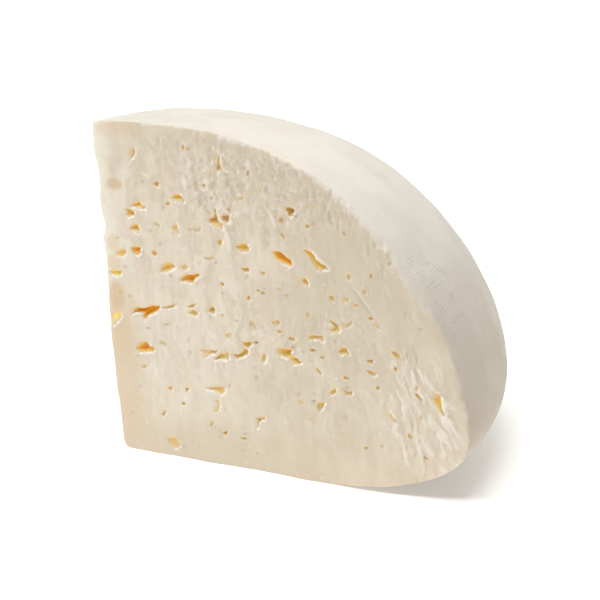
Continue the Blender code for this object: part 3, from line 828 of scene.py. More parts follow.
eyeShape = {
    "step": 0.42 * mm,  # between the points of a mouth's edge
    "nick": 0.06 * mm,
    "nickedFrom": 1.5 * mm,  # smaller mouths are nicked less
    "corners": (4, 6),
    "uneven": (-0.22, 0.22),
    "jag": (0.78, 1.22),  # how far out a small eye's corners lie
    "floor": 0.35 * mm,
    "depth": 0.42,  # of a small eye's width, on top of the floor
    "faint": 0.22 * mm,
    "grow": 0.13 * mm,
    "outside": 1.3 * mm,
    # how deep each ring of a pocket lies, and its size against the mouth
    "rings": ((0.0, 1.0), (0.3, 0.9), (0.6, 0.74), (0.86, 0.5), (1.0, 0.24)),
    "smallRings": ((0.0, 1.0), (0.55, 0.76), (1.0, 0.38)),
    "small": 2.2 * mm,
    "flare": 1.12,
    "slip": (0.25, 0.5),  # towards which side the floor lies
    "shallower": 0.72,
    "lump": (0.10 * mm, 1.2 * mm),
    "reliefReach": 2.5 * mm,
    "dish": 0.20 * mm,
    "dishReach": 0.8 * mm,
    "lip": 0.24 * mm,
    "lipWide": 0.40 * mm,
    "lipTowards": (0.85, -0.53),
    "lipAround": 0.2,
    "stainWide": 1.0 * mm,
    "fullSize": 2.5 * mm,  # a mouth this wide has the whole lip
}

crumbGaps = {
    "count": 10,
    "seed": 31,
    "spacing": 3.6 * mm,
    "clearance": 2 * mm,
    "widths": (0.6 * mm, 1.1 * mm),
    "tallness": (0.8, 1.9),
    "leans": (-10, 35),
    "depths": (0.15 * mm, 0.3 * mm),
}

# The second cut's eyes follow a rule: more near the heart than at the rim.
secondEyes = {
    "count": 34,
    "seed": 7,
    "spacing": 6.0 * mm,
    "widths": (2.0 * mm, 4.5 * mm),
    "wideShare": 0.2,
    "wideExtra": 3 * mm,
    "squatness": (0.35, 0.6),
    "lowest": 1.2 * mm,
    "rises": (-35, 25),
    "heart": (38 * mm, 52 * mm),
    "fade": 138 * mm,
    "clearance": 5 * mm,
    "fineCount": 60,
    "fineSeed": 23,
    "fineSpacing": 3.2 * mm,
    "fineWidths": (0.9 * mm, 1.8 * mm),
    "fineSquatness": (0.6, 0.95),
}


def middleOf(points):
    return tuple(sum(values) / len(points) for values in zip(*points))


def mouthFor(corners, depth, draw):
    # a mouth's torn edge, its points going anticlockwise, from its corners
    shape = eyeShape
    following = corners[1:] + corners[:1]
    area = sum(here[0] * there[1] - there[0] * here[1] for here, there in zip(corners, following)) / 2
    if area < 0:
        corners = corners[::-1]
    span = math.sqrt(abs(area))
    centre = middleOf(corners)
    wider = 1 + 2 * shape["grow"] / span
    corners = [tuple(m + wider * (value - m) for m, value in zip(centre, corner)) for corner in corners]
    nick = shape["nick"] * min(1.0, span / shape["nickedFrom"])
    points = []
    for here, there in zip(corners, corners[1:] + corners[:1]):
        steps = max(1, round(math.dist(here, there) / shape["step"]))
        for step in range(steps):
            share = step / steps
            points.append(tuple(a + share * (b - a) + draw.uniform(-nick, nick) for a, b in zip(here, there)))
    return {"points": points, "middle": middleOf(points), "span": span, "depth": depth}


def mouthFromSizes(eye, draw, depth=None):
    # an eye's corners from its width, height and rise
    shape = eyeShape
    along, height, wide, tall, rise = eye
    lean = math.radians(rise)
    count = draw.randint(*shape["corners"])
    start = draw.uniform(0, 360)
    corners = []
    for number in range(count):
        turn = math.radians(start + 360 * (number + draw.uniform(*shape["uneven"])) / count)
        out = draw.uniform(*shape["jag"])
        right = out * math.cos(turn) * wide / 2
        up = out * math.sin(turn) * tall / 2
        corners.append((
            along + right * math.cos(lean) - up * math.sin(lean),
            height + right * math.sin(lean) + up * math.cos(lean),
        ))
    return mouthFor(tuple(corners), depth or shape["floor"] + shape["depth"] * wide, draw)


def firstCutMouths():
    draw = random.Random(firstCut["mouthSeed"])
    mouths = []
    for depth, *corners in tornEyes:
        sized = tuple((along * mm, height * mm) for along, height in corners)
        mouths.append(mouthFor(sized, depth * mm, draw))
    for eyes, depth in ((smallEyes, None), (faintEyes, eyeShape["faint"])):
        for *sizes, rise in eyes:
            mouths.append(mouthFromSizes((*[value * mm for value in sizes], rise), draw, depth))
    return mouths + crumbMouths([mouth["middle"] for mouth in mouths])


def anyPlace(draw):
    return draw.uniform(0, headShape["radius"]), draw.uniform(0, headShape["crownHeight"])


def isNear(place, others, spacing):
    return any(math.dist(place, other[:2]) < spacing for other in others)


def crumbMouths(taken):
    # the gaps that fallen crumbs left, where the curd crumbles, clear of the eyes
    rule = crumbGaps
    draw = random.Random(rule["seed"])
    mouths = []
    while len(mouths) < rule["count"]:
        place = anyPlace(draw)
        if isNear(place, taken, rule["spacing"]) or draw.random() > crumbleShare(*place):
            continue
        if insideOutline(*place, rule["clearance"]):
            wide = draw.uniform(*rule["widths"])
            eye = (*place, wide, wide * draw.uniform(*rule["tallness"]), draw.uniform(*rule["leans"]))
            mouths.append(mouthFromSizes(eye, draw, draw.uniform(*rule["depths"])))
            taken.append(place)
    return mouths


def insideOutline(along, height, margin):
    shape = headShape
    if height < margin or along < margin or along > shape["radius"] - margin:
        return False
    if height < shape["bellyHeight"] + shape["bellyRise"]:
        return along < shape["footRadius"] + height
    slope = max(0.0, 1 - ((along + margin) / shape["radius"]) ** shape["crownPower"])
    return height + margin < shape["bellyHeight"] + crownRise * slope ** (1 / shape["shoulderPower"])


def secondCutMouths():
    rule = secondEyes
    draw = random.Random(rule["seed"])
    eyes = []
    while len(eyes) < rule["count"]:
        place = anyPlace(draw)
        wide = draw.uniform(*rule["widths"])
        if draw.random() < rule["wideShare"]:
            wide += rule["wideExtra"]
        rise = draw.uniform(*rule["rises"])
        rare = draw.random() < math.dist(place, rule["heart"]) / rule["fade"]
        if rare or isNear(place, eyes, rule["spacing"]) or not insideOutline(*place, rule["clearance"]):
            continue
        eyes.append((*place, wide, max(wide * draw.uniform(*rule["squatness"]), rule["lowest"]), rise))
    draw = random.Random(rule["fineSeed"])
    while len(eyes) < rule["count"] + rule["fineCount"]:
        place = anyPlace(draw)
        if isNear(place, eyes, rule["fineSpacing"]) or not insideOutline(*place, rule["clearance"]):
            continue
        wide = draw.uniform(*rule["fineWidths"])
        eyes.append((*place, wide, wide * draw.uniform(*rule["fineSquatness"]), draw.uniform(*rule["rises"])))
    draw = random.Random(secondCut["mouthSeed"])
    return [mouthFromSizes(eye, draw) for eye in eyes]


# the knife's two cuts

knifeWork = {
    "wave": 0.55 * mm,
    "waveSpan": 30 * mm,
    "chatter": 0.22 * mm,
    "chatterSpan": 11.5 * mm,
    "setBack": 0.05 * mm,
    "reach": 114 * mm,
    "behindEdge": 3 * mm,
    "top": 97.5 * mm,
    "bottom": -2 * mm,
    "thickness": 24 * mm,
    "soft": (0.30 * mm, 7 * mm),
    "tear": (0.42 * mm, 1.7 * mm),
    "crumb": (0.26 * mm, 1.2 * mm),
    "streak": (0.34 * mm, 1.5 * mm, 10 * mm),
    "crease": (0.22 * mm, 3.2 * mm, 8 * mm, 0.10),
    "creasedPatch": 5 * mm,
    "sways": ((2.6 * mm, 13 * mm), (0.9 * mm, 1.9 * mm)),
    "leans": (74 * mm, 104 * mm, 0.62),  # where streaks start to lean over, and by how much
    "leanAbove": 17 * mm,
    # the curd is smoother this near the thin edge and the foot
    "calmAlong": (4 * mm, 16 * mm),
    "calmAbove": (3 * mm, 22 * mm),
    # the grains of curd: width, height, how far apart they stand, how much they tilt, how soft
    # their edges are
    "grains": (3.3 * mm, 6.0 * mm, 0.20 * mm, 0.05, 0.22),
    "crumbs": (1.6 * mm, 2.7 * mm, 0.55 * mm, 0.20, 0.10),
}

firstCut = {
    "name": "firstCut",
    "turn": 0.0,
    "outward": -1,
    "waveStart": 3.7,
    "bows": False,
    "cell": 0.45 * mm,
    "pits": 110,
    "pitSeed": 5,
    "mouthSeed": 105,
    "smeared": True,
    "rim": {"round": 3.4 * mm, "sink": 1.2 * mm, "softens": (84 * mm, 106 * mm)},
    # how many mm the rind is worn back from the rim, by degrees up from the belly: below 0 the
    # paste is smeared out over the rind instead
    "wear": (
        (-25, 0.0), (-12, -0.6), (-3, -0.3), (0, 0.5), (6.2, 0.5), (7.2, 1.0), (9, 0.6), (13, 0.2),
        (16.2, -0.3), (18.3, 0.6), (20.3, 1.9), (22, 2.4), (24, 2.1), (26.5, 1.5), (29, 1.2), (30.1, 2.3),
        (31.0, 1.3), (34, 1.1), (38, 1.4), (41, 1.1), (44.6, 0.75), (50.5, 0.6), (53, 0.3), (57, 1.0),
        (61.4, 1.35), (62.2, 0.3), (68, 0.7), (73, 0.55), (78.3, 0.75), (78.9, 0.0), (85, 0.1), (90, 0.0),
    ),
}

secondCut = {
    "name": "secondCut",
    "turn": math.radians(86),
    "outward": 1,
    "waveStart": 11.3,
    "bows": True,
    "cell": 0.95 * mm,
    "pits": 60,
    "pitSeed": 8,
    "mouthSeed": 108,
    "smeared": False,
    "rim": {"round": 2.4 * mm, "sink": 0.8 * mm, "softens": (70 * mm, 104 * mm)},
    "wear": (
        (-25, 0.0), (0, 0.5), (16, 0.9), (17, 0.3), (30, 0.6), (41, 1.2), (42, 0.5), (58, 0.9), (66, 0.3),
        (74, 0.7), (75, 0.2), (90, 0.0),
    ),
}

rimWear = {
    "middle": 15 * mm,  # the belly's height, that the degrees are measured from
    "least": 0.1 * mm,  # less than this is no wear
    "drop": 0.5,
    "soft": 0.25 * mm,
    "jitter": (0.7 * mm, 1.6 * mm),
    "smearReach": 1.5,
    "smearSoft": 0.5 * mm,
}

# How far the thin edge stands out, by height, and how far along the second cut that reaches.
thinEdgeShape = {
    "bow": 1.1 * mm,
    "bowHeight": 31 * mm,
    "bowSpan": 40 * mm,
    "setOut": 0.3 * mm,
    "fade": 12 * mm,
    "knots": (
        (0, 0.7), (11, 0.9), (17, 1.2), (27, 1.3), (38, 1.3), (43, 1.1), (48, 0.5), (62, 0.45),
        (66, -0.5), (69, 0.1), (73, 0.3), (76, -0.2), (80, -0.5), (83, -0.3), (86, 0.6), (93, 0.45),
        (96, -0.1),
    ),
    "cornerRound": 1.9 * mm,
}

# Near-vertical ridges that the knife smeared, low down towards the rind; their crests are painted paler,
# partly as a painted highlight.
smears = {
    "patches": ((97, 22, 16, 26, 1.0),),  # as the patches below
    "wide": 1.15 * mm,
    "long": 5.5 * mm,
    "height": 0.6 * mm,
}

# Folds of curd pushed up, and one scored line pressed in: how high and how wide in mm, then the
# places they run through, as (mm from the thin edge, mm above the base).
folds = (
    (0.55, 0.6, (96.2, 35.6), (98.2, 33.6), (100.3, 31.0), (102.2, 29.6)),
    (0.6, 0.55, (103.0, 29.0), (104.0, 27.0), (104.4, 24.6)),
    (0.6, 0.5, (97.0, 22.6), (97.9, 21.0), (98.8, 19.0)),
    (0.5, 0.55, (95.9, 16.4), (96.0, 12.4)),
    (0.4, 0.6, (97.6, 17.6), (99.0, 13.6), (100.0, 10.4)),
    (0.4, 0.5, (101.2, 19.6), (102.4, 17.6), (103.4, 17.0)),
    (0.35, 0.45, (91.6, 21.6), (91.9, 19.6)),
    (0.35, 0.45, (90.0, 22.0), (90.3, 19.9)),
    (0.3, 0.7, (90.2, 36.0), (92.0, 31.6), (93.6, 28.0)),
    (-0.35, 0.4, (76.9, 56.7), (81.2, 51.6), (86.5, 45.1)),
    (0.25, 0.5, (77.8, 57.0), (82.1, 52.0), (87.2, 45.7)),
    (0.6, 0.6, (41.0, 68.0), (42.3, 64.6), (42.6, 61.6)),
    (0.5, 0.5, (39.6, 71.6), (41.0, 68.6)),
    (0.45, 0.4, (0.7, 77.2), (2.6, 75.4), (4.6, 72.9)),
    (0.45, 0.5, (45.2, 79.5), (46.4, 76.2), (47.4, 74.4)),
    (0.45, 0.5, (55.0, 74.0), (56.8, 70.8), (57.8, 67.6)),
    (-0.4, 0.5, (53.4, 66.2), (55.0, 63.4), (55.8, 62.0)),
    (0.5, 0.55, (66.0, 64.0), (68.2, 63.2), (69.4, 61.6), (71.0, 60.3), (73.2, 58.6)),
    (0.4, 0.5, (41.0, 86.6), (41.9, 85.4), (41.6, 84.4), (42.2, 82.8)),
    (0.4, 0.5, (43.8, 70.4), (43.6, 69.0), (42.4, 68.3)),
    (0.4, 0.5, (14.6, 81.4), (16.6, 80.4), (18.2, 79.4)),
    (0.4, 0.5, (33.6, 78.2), (35.2, 77.3), (36.6, 77.6)),
)

# Where the curd crumbles: (mm from the thin edge, mm above the base, reach across, reach up,
# how badly)
crumblyPatches = (
    (41, 80, 17, 15, 1.0), (57, 77, 15, 15, 0.75), (75, 76, 13, 9, 0.85), (88, 62, 8, 8, 0.45),
    (66, 84, 9, 5, 0.9), (50, 36, 24, 8, 0.35), (76, 42, 14, 9, 0.45), (26, 88, 10, 6, 0.5),
)

# Yellowish peach stains: (mm from the thin edge, mm above the base, reach across, reach up, share)
peachPatches = (
    (7.5, 93.0, 8.5, 3.2, 0.45), (5.2, 77.8, 3.6, 2.2, 0.95), (4.6, 82.5, 0.9, 4.5, 0.4),
    (2.4, 45.8, 3.4, 5.4, 0.95), (2.6, 61.0, 2.6, 3.2, 0.5), (2.4, 55.6, 3.2, 3.0, 0.5),
    (3.2, 34.5, 5.0, 7.5, 0.45), (1.0, 74.0, 1.0, 3.0, 0.3), (100.1, 20.0, 2.2, 2.0, 0.45),
    (57.0, 8.0, 12.0, 3.0, 0.2), (30.0, 6.0, 20.0, 3.0, 0.15),
)

# Duller ones, in the same way.
duskPatches = (
    (78.0, 46.0, 30.0, 26.0, 0.6), (66.0, 22.0, 30.0, 22.0, 0.4),
    (40.0, 5.0, 46.0, 10.0, 0.35),
)

# Each kind of patch is whole out to the first share of its reach, and gone at the second.
patchFades = {"crumbly": (0.45, 1.1), "stains": (0.5, 1.0), "smears": (0.3, 1.0)}

# Soft hollows too shallow to be eyes: (mm from the thin edge, mm above the base, width, height,
# rise, depth)
dimples = (
    (5.4, 77.6, 6.5, 4.2, 0, 0.75), (100.1, 20.3, 4.6, 3.4, -50, 0.6), (33.4, 17.0, 2.6, 4.2, 0, 0.4),
    (51.5, 25.0, 4.0, 2.4, 0, 0.35), (24.0, 83.0, 6.0, 5.0, 0, 0.3), (70.0, 68.0, 7.0, 5.0, -30, 0.35),
    (87.0, 26.0, 5.0, 6.0, 0, 0.35), (78.0, 17.0, 6.0, 5.0, 0, 0.3),
)

pitShape = {
    "widths": (0.8 * mm, 1.7 * mm),
    "depth": 0.34,
    "squash": (0.5, 1.0),
    "rises": (-40, 40),
    "clearance": 1.5 * mm,
    "edge": 1.15,
    "dimpleEdge": 1.25,
}


def betweenKnots(knots, height):
    for (low, here), (high, there) in zip(knots, knots[1:]):
        if height <= high:
            return here + (there - here) * smoothStep(height, low, high)
    return knots[-1][1]


def edgeBow(height, along):
    shape = thinEdgeShape
    away = min(1.0, abs(height - shape["bowHeight"]) / shape["bowSpan"])
    broad = shape["setOut"] + shape["bow"] * (1 + math.cos(math.pi * away)) / 2
    atEdge = betweenKnots(shape["knots"], height / mm) * mm
    corner = shape["cornerRound"]
    left = corner - max(0.0, height)
    if left > 0:
        atEdge -= corner - math.sqrt(corner ** 2 - left ** 2)
    return broad + (atEdge - broad) * (1 - smoothStep(along, 0, shape["fade"]))


def cutPlain(cut, along, height):
    # where the knife went, before the fine relief
    work = knifeWork
    spot = Vector((along, height, 0))
    start = Vector((0, 0, cut["waveStart"]))
    side = work["wave"] * noise.noise(spot / work["waveSpan"] + start)
    side += work["chatter"] * noise.noise(spot / work["chatterSpan"] + start)
    if cut["bows"]:
        side += cut["outward"] * edgeBow(height, along)
    return side


def patchShare(patches, along, height, core, edge):
    # the strongest of some patches here, each whole out to its core and gone at its edge
    most = 0.0
    for middle, above, across, up, share in patches:
        off = math.hypot((along / mm - middle) / across, (height / mm - above) / up)
        if off < edge:
            most = max(most, share * (1 - smoothStep(off, core, edge)))
    return most


def crumbleShare(along, height):
    return patchShare(crumblyPatches, along, height, *patchFades["crumbly"])


def swayed(cut, along, height):
    # the same place in the curd before it was pressed: its grain wanders, and leans at the side
    layer = cut["waveStart"] + 47
    across, lifted = along, height
    for number, (sway, span) in enumerate(knifeWork["sways"]):
        across += sway * grain(along, height, span, span, layer + 2 * number)
        lifted += sway * grain(along, height, span, span, layer + 2 * number + 1)
    leanFrom, leanTo, lean = knifeWork["leans"]
    above = max(0.0, height - knifeWork["leanAbove"])
    return across + lean * smoothStep(along, leanFrom, leanTo) * above, lifted


def curdGrain(size, across, lifted, layer):
    # how far this flat grain of curd stands out here, its tone and its blush
    wide, tall, stand, tilt, soft = size
    spot = Vector((across / wide, lifted / tall, layer))
    distances, middles = noise.voronoi(spot)
    found = []
    for middle in middles[:2]:
        own = noise.cell_vector(middle * 31)
        off = spot - middle
        out = stand * (own.x - 0.5) + tilt * ((own.y - 0.5) * off.x * wide + (own.z - 0.5) * off.y * tall)
        found.append(Vector((out, own.x, own.y)))
    share = 0.5 - 0.5 * smoothStep(distances[1] - distances[0], 0, soft)
    return found[0].lerp(found[1], share)


def curdGrains(cut, along, height):
    # the large grains all over, and the small crumbs where the curd crumbles
    place = swayed(cut, along, height)
    large = curdGrain(knifeWork["grains"], *place, cut["waveStart"] + 60)
    small = curdGrain(knifeWork["crumbs"], *place, cut["waveStart"] + 70)
    crumbly = crumbleShare(along, height)
    share = 0.25 + 0.9 * crumbly
    return large.x + crumbly * small.x, large.y + share * (small.y - 0.5), large.z + share * (small.z - 0.5)


def smearHere(cut, along, height):
    # from -1 in a valley to 1 on a crest
    wide, long = smears["wide"], smears["long"]
    layer = cut["waveStart"] + 57
    place = swayed(cut, along, height)
    ridge = grain(*place, wide, long, layer) + 0.5 * grain(*place, wide / 2, long / 2, layer + 2)
    return 2 * ridge * patchShare(smears["patches"], along, height, *patchFades["smears"])


def foldRelief(fold, along, height):
    # a rounded ridge along the fold's places, thinning at both ends
    rise, wide, *places = fold
    here = Vector((along, height)) / mm
    found = []
    for number, (start, end) in enumerate(zip(places, places[1:])):
        part = min(1.0, max(0.0, geometry.intersect_point_line(here, start, end)[1]))
        off = (here - Vector(start).lerp(Vector(end), part)).length
        found.append((off, (number + part) / (len(places) - 1)))
    nearest, share = min(found)
    return rise * mm * math.exp(-((nearest / wide) ** 2)) * math.sin(math.pi * (0.08 + 0.84 * share))


def foldCrest(along, height):
    # how near the crest of a fold this is, from 0 to 0.5, for the crests' paler colour, partly a painted
    # highlight
    most = 0.0
    for fold in folds:
        rise, wide, *places = fold
        inside = all(
            min(values) - 2.5 * wide < value / mm < max(values) + 2.5 * wide
            for value, values in zip((along, height), zip(*places))
        )
        if rise > 0 and inside:
            most = max(most, foldRelief(fold, along, height))
    return min(0.5, most / mm)


def curdRelief(cut, along, height):
    # how far the broken curd stands out of the plain cut
    work = knifeWork
    layer = cut["waveStart"] + 40
    calm = smoothStep(along, *work["calmAlong"]) * smoothStep(height, *work["calmAbove"])
    rough = (0.3 + 0.7 * crumbleShare(along, height)) * (0.3 + 0.7 * calm)
    place = swayed(cut, along, height)
    out = (0.4 + 0.6 * calm) * curdGrains(cut, along, height)[0]
    tear, span = work["tear"]
    out -= tear * rough * abs(grain(*place, span, span * 1.7, layer + 5))
    crumb, span = work["crumb"]
    out += crumb * rough * grain(along, height, span, span, layer + 9)
    streak, wide, tall = work["streak"]
    out -= streak * (0.35 + 0.65 * calm) * abs(grain(*place, wide, tall, layer + 13))
    crease, wide, tall, thin = work["crease"]
    line = grain(*place, wide, tall, layer + 21) / thin
    span = work["creasedPatch"]
    here = smoothStep(grain(along, height, span, span, layer + 25), 0.0, 0.2)
    out -= crease * calm * (0.35 + 0.65 * rough) * here * math.exp(-line * line)
    soft, span = work["soft"]
    out += soft * grain(along, height, span, span, layer)
    if cut["smeared"]:
        out += smears["height"] / 2 * smearHere(cut, along, height)
    return out - work["setBack"]


def wearAt(cut, along, height):
    # how far in from the rim the rind reaches here
    wear = rimWear
    turn = math.degrees(math.atan2(height - wear["middle"], max(along, wear["least"])))
    return betweenKnots(cut["wear"], turn) * mm


def rimSink(cut, along, height, rim):
    # the cut turns in softly towards the rind down the side, and more sharply where it is worn
    soft = cut["rim"]
    beyond = rim.find(along, height)[0]
    share = min(1.4, max(0.0, 1 + beyond / soft["round"]))
    sink = smoothStep(along, *soft["softens"]) * soft["sink"] * share * share
    wide = wearAt(cut, along, height)
    if wide > rimWear["least"]:
        share = min(1.5, max(0.0, 1 + beyond / wide))
        sink += rimWear["drop"] * wide * share * share
    return sink


def mouthFinder(mouths):
    # the stretches of every mouth's edge, and which mouth each is of
    starts, ends, owners = [], [], []
    for mouth in mouths:
        points = mouth["points"]
        starts += points
        ends += points[1:] + points[:1]
        owners += [mouth] * len(points)
    return EdgeFinder(ends, starts, owners)  # turned round, so that outwards is out of the mouth


def mouthRelief(finder, along, height):
    # a dished mouth with its lower right lip pushed up; and how much of that lip is here, which the paste
    # whitens as a painted highlight, and of the stain on the other side
    shape = eyeShape
    beyond, out, number = finder.find(along, height)
    if abs(beyond) > shape["reliefReach"]:
        return 0.0, 0.0, 0.0
    beyond = math.copysign(math.dist((along, height), finder.stretches[number][0]), beyond)
    owner = finder.owners[number]
    size = min(1.0, owner["span"] / shape["fullSize"]) * min(1.0, owner["depth"] / mm)
    facing = out[0] * shape["lipTowards"][0] + out[1] * shape["lipTowards"][1]
    dish = -shape["dish"] * size * (1 - smoothStep(beyond, 0, shape["dishReach"])) * max(0.0, 0.5 - facing)
    share = size * max(0.0, facing + shape["lipAround"]) * math.exp(-((beyond / shape["lipWide"] - 0.6) ** 2))
    stain = min(1.0, 1.4 * size) * smoothStep(-facing, -0.4, 0.6)
    stain *= 0.9 * (1 - smoothStep(beyond, 0, shape["stainWide"]))
    return dish + shape["lip"] * share, share, stain


def dentRelief(dent, along, height):
    # a soft round hollow, turned by its rise, that ends at its edge
    middle, above, wide, tall, rise, depth, edge = dent
    lean = math.radians(rise)
    right, up = along - middle, height - above
    off = math.hypot(
        (right * math.cos(lean) + up * math.sin(lean)) / (wide / 2),
        (up * math.cos(lean) - right * math.sin(lean)) / (tall / 2),
    )
    return -depth * (1 - smoothStep(off, 0.0, edge))


def dentsOf(cut):
    # small pits by rule, and on the first cut the dimples too
    draw = random.Random(cut["pitSeed"])
    dents = []
    while len(dents) < cut["pits"]:
        place = anyPlace(draw)
        wide = draw.uniform(*pitShape["widths"])
        tall = wide * draw.uniform(*pitShape["squash"])
        rise = draw.uniform(*pitShape["rises"])
        if insideOutline(*place, pitShape["clearance"]):
            dents.append((*place, wide, tall, rise, wide * pitShape["depth"], pitShape["edge"]))
    for *sizes, rise, depth in dimples if cut["smeared"] else ():
        dents.append((*[value * mm for value in sizes], rise, depth * mm, pitShape["dimpleEdge"]))
    return dents


def knifeSlab(cut, finder):
    work = knifeWork
    starts = (-work["behindEdge"], work["bottom"])
    sizes = (work["reach"] + work["behindEdge"], work["top"] - work["bottom"])
    cells = tuple(round(size / cut["cell"]) for size in sizes)
    bpy.ops.mesh.primitive_grid_add(x_subdivisions=cells[0], y_subdivisions=cells[1], size=1)
    slab = bpy.context.object
    slab.name = cut["name"]
    startEditing(slab)
    bpy.ops.transform.resize(value=(*sizes, 1))
    bpy.ops.transform.translate(value=(sizes[0] / 2 + starts[0], sizes[1] / 2 + starts[1], 0))
    stopEditing()

    # x is along the cut and y is height, until the slab is stood up
    points = slab.data.vertices
    rim = rimOutline(cut["turn"])
    atCell = {}
    out = []
    for point in points:
        place = tuple(point.co.xy)
        grid = zip(place, starts, sizes, cells)
        atCell[tuple(round((at - start) / size * count) for at, start, size, count in grid)] = point.index
        relief = curdRelief(cut, *place) + mouthRelief(finder, *place)[0]
        out.append(relief - rimSink(cut, *place, rim))

    def press(relief, mark, middle, reach):
        # add a mark's relief to the points round its middle
        columns, rows = (
            range(
                math.floor((at - reach - start) / size * count),
                math.ceil((at + reach - start) / size * count) + 1,
            )
            for at, start, size, count in zip(middle, starts, sizes, cells)
        )
        for cell in itertools.product(columns, rows):
            if cell in atCell:
                number = atCell[cell]
                out[number] += relief(mark, points[number].co.x, points[number].co.y)

    for dent in dentsOf(cut):
        press(dentRelief, dent, dent[:2], dent[2])
    for fold in folds if cut["smeared"] else ():
        start, end = fold[2], fold[-1]
        middle = [(a + b) / 2 * mm for a, b in zip(start, end)]
        press(foldRelief, fold, middle, (math.dist(start, end) / 2 + 3 * fold[1]) * mm)

    turn = Matrix.Rotation(cut["turn"], 3, "Z")
    for point in points:
        along, height = point.co.xy
        side = cutPlain(cut, along, height) + cut["outward"] * out[point.index]
        point.co = turn @ Vector((along, side, height))
    startEditing(slab)
    away = turn @ Vector((0, cut["outward"] * work["thickness"], 0))
    bpy.ops.mesh.extrude_region_move(TRANSFORM_OT_translate={"value": away})
    faceOutwards()
    return slab


def eyePocket(cut, mouth):
    # steep under its upper left edge, running out flat towards the lower right
    shape = eyeShape
    turn = Matrix.Rotation(cut["turn"], 3, "Z")
    along, height = mouth["middle"]
    plain = cutPlain(cut, along, height) + cut["outward"] * curdRelief(cut, along, height)
    at = Vector((along, plain + cut["outward"] * shape["outside"], height))
    bpy.ops.mesh.primitive_circle_add(vertices=len(mouth["points"]), radius=mm, fill_type="NGON")
    pocket = bpy.context.object
    pocket.name = cut["name"] + "Eye"
    for point, (right, up) in zip(pocket.data.vertices, mouth["points"]):
        place = (at.x + (right - at.x) * shape["flare"], at.y, at.z + (up - at.z) * shape["flare"])
        point.co = turn @ Vector(place)
    startEditing(pocket)
    last = shape["flare"]
    for deeper, size in shape["smallRings"] if mouth["span"] < shape["small"] else shape["rings"]:
        slip = (1 - size) * mouth["span"] / 2
        goal = Vector((
            along + shape["slip"][0] * slip,
            plain - cut["outward"] * mouth["depth"] * shape["shallower"] * deeper,
            height + shape["slip"][1] * slip,
        ))
        bpy.ops.mesh.extrude_region_move(TRANSFORM_OT_translate={"value": turn @ (goal - at)})
        bpy.ops.transform.resize(value=(size / last,) * 3, center_override=turn @ goal)
        at, last = goal, size
    faceOutwards()
    lump, span = shape["lump"]
    for point in pocket.data.vertices:
        point.co += lump * noise.noise_vector(point.co / span)
    return pocket


def carve(thing, name, shelf):
    for cutter in shelf.objects:
        cutter.hide_render = True
    joinOrCut(
        thing,
        name,
        operation="DIFFERENCE",
        operand_type="COLLECTION",
        collection=shelf,
        material_mode="TRANSFER",
    )
    throwAway(shelf)


def edgesBetween(thing, first, second):
    # the vertices on edges where a face of one finish meets a face of the other
    finishes = {}
    for face in thing.data.polygons:
        for key in face.edge_keys:
            finishes.setdefault(key, set()).add(face.material_index)
    return {point for key, found in finishes.items() if {first, second} <= found for point in key}


softening = {
    # how often the points are evened out along the eyes' mouths, the rim and the thin edge
    "mouths": 2,
    "rim": 1,
    "thin": 1,
    "thinReach": 2.2 * mm,
    "thinPush": (-0.1 * mm, -0.1 * mm, 0),
    "keepSharp": 58,
}


def soften(thing, wanted, repeat, push=None):
    startEditingPoints(thing, wanted)
    bpy.ops.mesh.vertices_smooth(factor=0.5, repeat=repeat)
    if push:
        bpy.ops.transform.translate(value=push)
    stopEditing()


def noteFinish(thing, finders, paste):
    # what the colours need to know at each point of the two cuts
    names = ("hollow", "lip", "stain", "skin", "tone", "blush", "crest", "peach", "dusk", "crumbly")
    for name in names:
        thing.data.attributes.new(name, "FLOAT", "POINT")
    notes = {name: thing.data.attributes[name].data for name in names}
    onPaste, onEyes = set(), set()
    for face in thing.data.polygons:
        if face.material_index == paste:
            onPaste.update(face.vertices)
        elif face.material_index != 0:
            onEyes.update(face.vertices)
    rims = [rimOutline(cut["turn"]) for cut in (firstCut, secondCut)]
    back = Matrix.Rotation(-secondCut["turn"], 3, "Z")
    spread, span = rimWear["jitter"]
    for point in thing.data.vertices:
        along, side, height = point.co
        alongSecond, sideSecond, _ = back @ point.co
        first = side - cutPlain(firstCut, along, height)
        second = cutPlain(secondCut, alongSecond, height) - sideSecond
        which = 0 if first < second else 1
        cut, depth = ((firstCut, first), (secondCut, second))[which]
        along = (along, alongSecond)[which]
        found = {"skin": 1.0, "crest": 0.5}
        jitter = spread * noise.noise(point.co / span)
        wear = wearAt(cut, along, height)
        if point.index in onEyes:
            below = depth + curdRelief(cut, along, height)
            found["hollow"] = min(1.0, max(0.0, below) / hollowLook["fullDepth"])
        if point.index in onPaste or point.index in onEyes:
            found["tone"], found["blush"] = curdGrains(cut, along, height)[1:]
            found["peach"] = patchShare(peachPatches, along, height, *patchFades["stains"])
            found["dusk"] = patchShare(duskPatches, along, height, *patchFades["stains"])
            found["crumbly"] = crumbleShare(along, height)
            # crests of smears and folds, for the painted highlight on them and the painted shade in the
            # smears' valleys
            if cut["smeared"]:
                found["crest"] += 0.5 * smearHere(cut, along, height) + foldCrest(along, height)
        if point.index in onPaste:
            found["lip"], found["stain"] = mouthRelief(finders[which], along, height)[1:]
            inward = rims[which].find(along, height)[0] + wear + jitter
            worn = smoothStep(inward, -rimWear["soft"], rimWear["soft"])
            found["skin"] = worn if wear > rimWear["least"] else 0.0
        elif wear < 0 and cut is firstCut:
            reach = -wear * rimWear["smearReach"]
            soft = rimWear["smearSoft"]
            found["skin"] = smoothStep(depth + jitter, reach - soft, reach + soft)
        for name, value in found.items():
            notes[name][point.index].value = value


def keepInside(thing):
    # nothing stands out of the CAD model's box
    low, high = (corner - thinEdge for corner in cadBox)
    for point in thing.data.vertices:
        point.co = [min(max(value, least), most) for value, least, most in zip(point.co, low, high)]


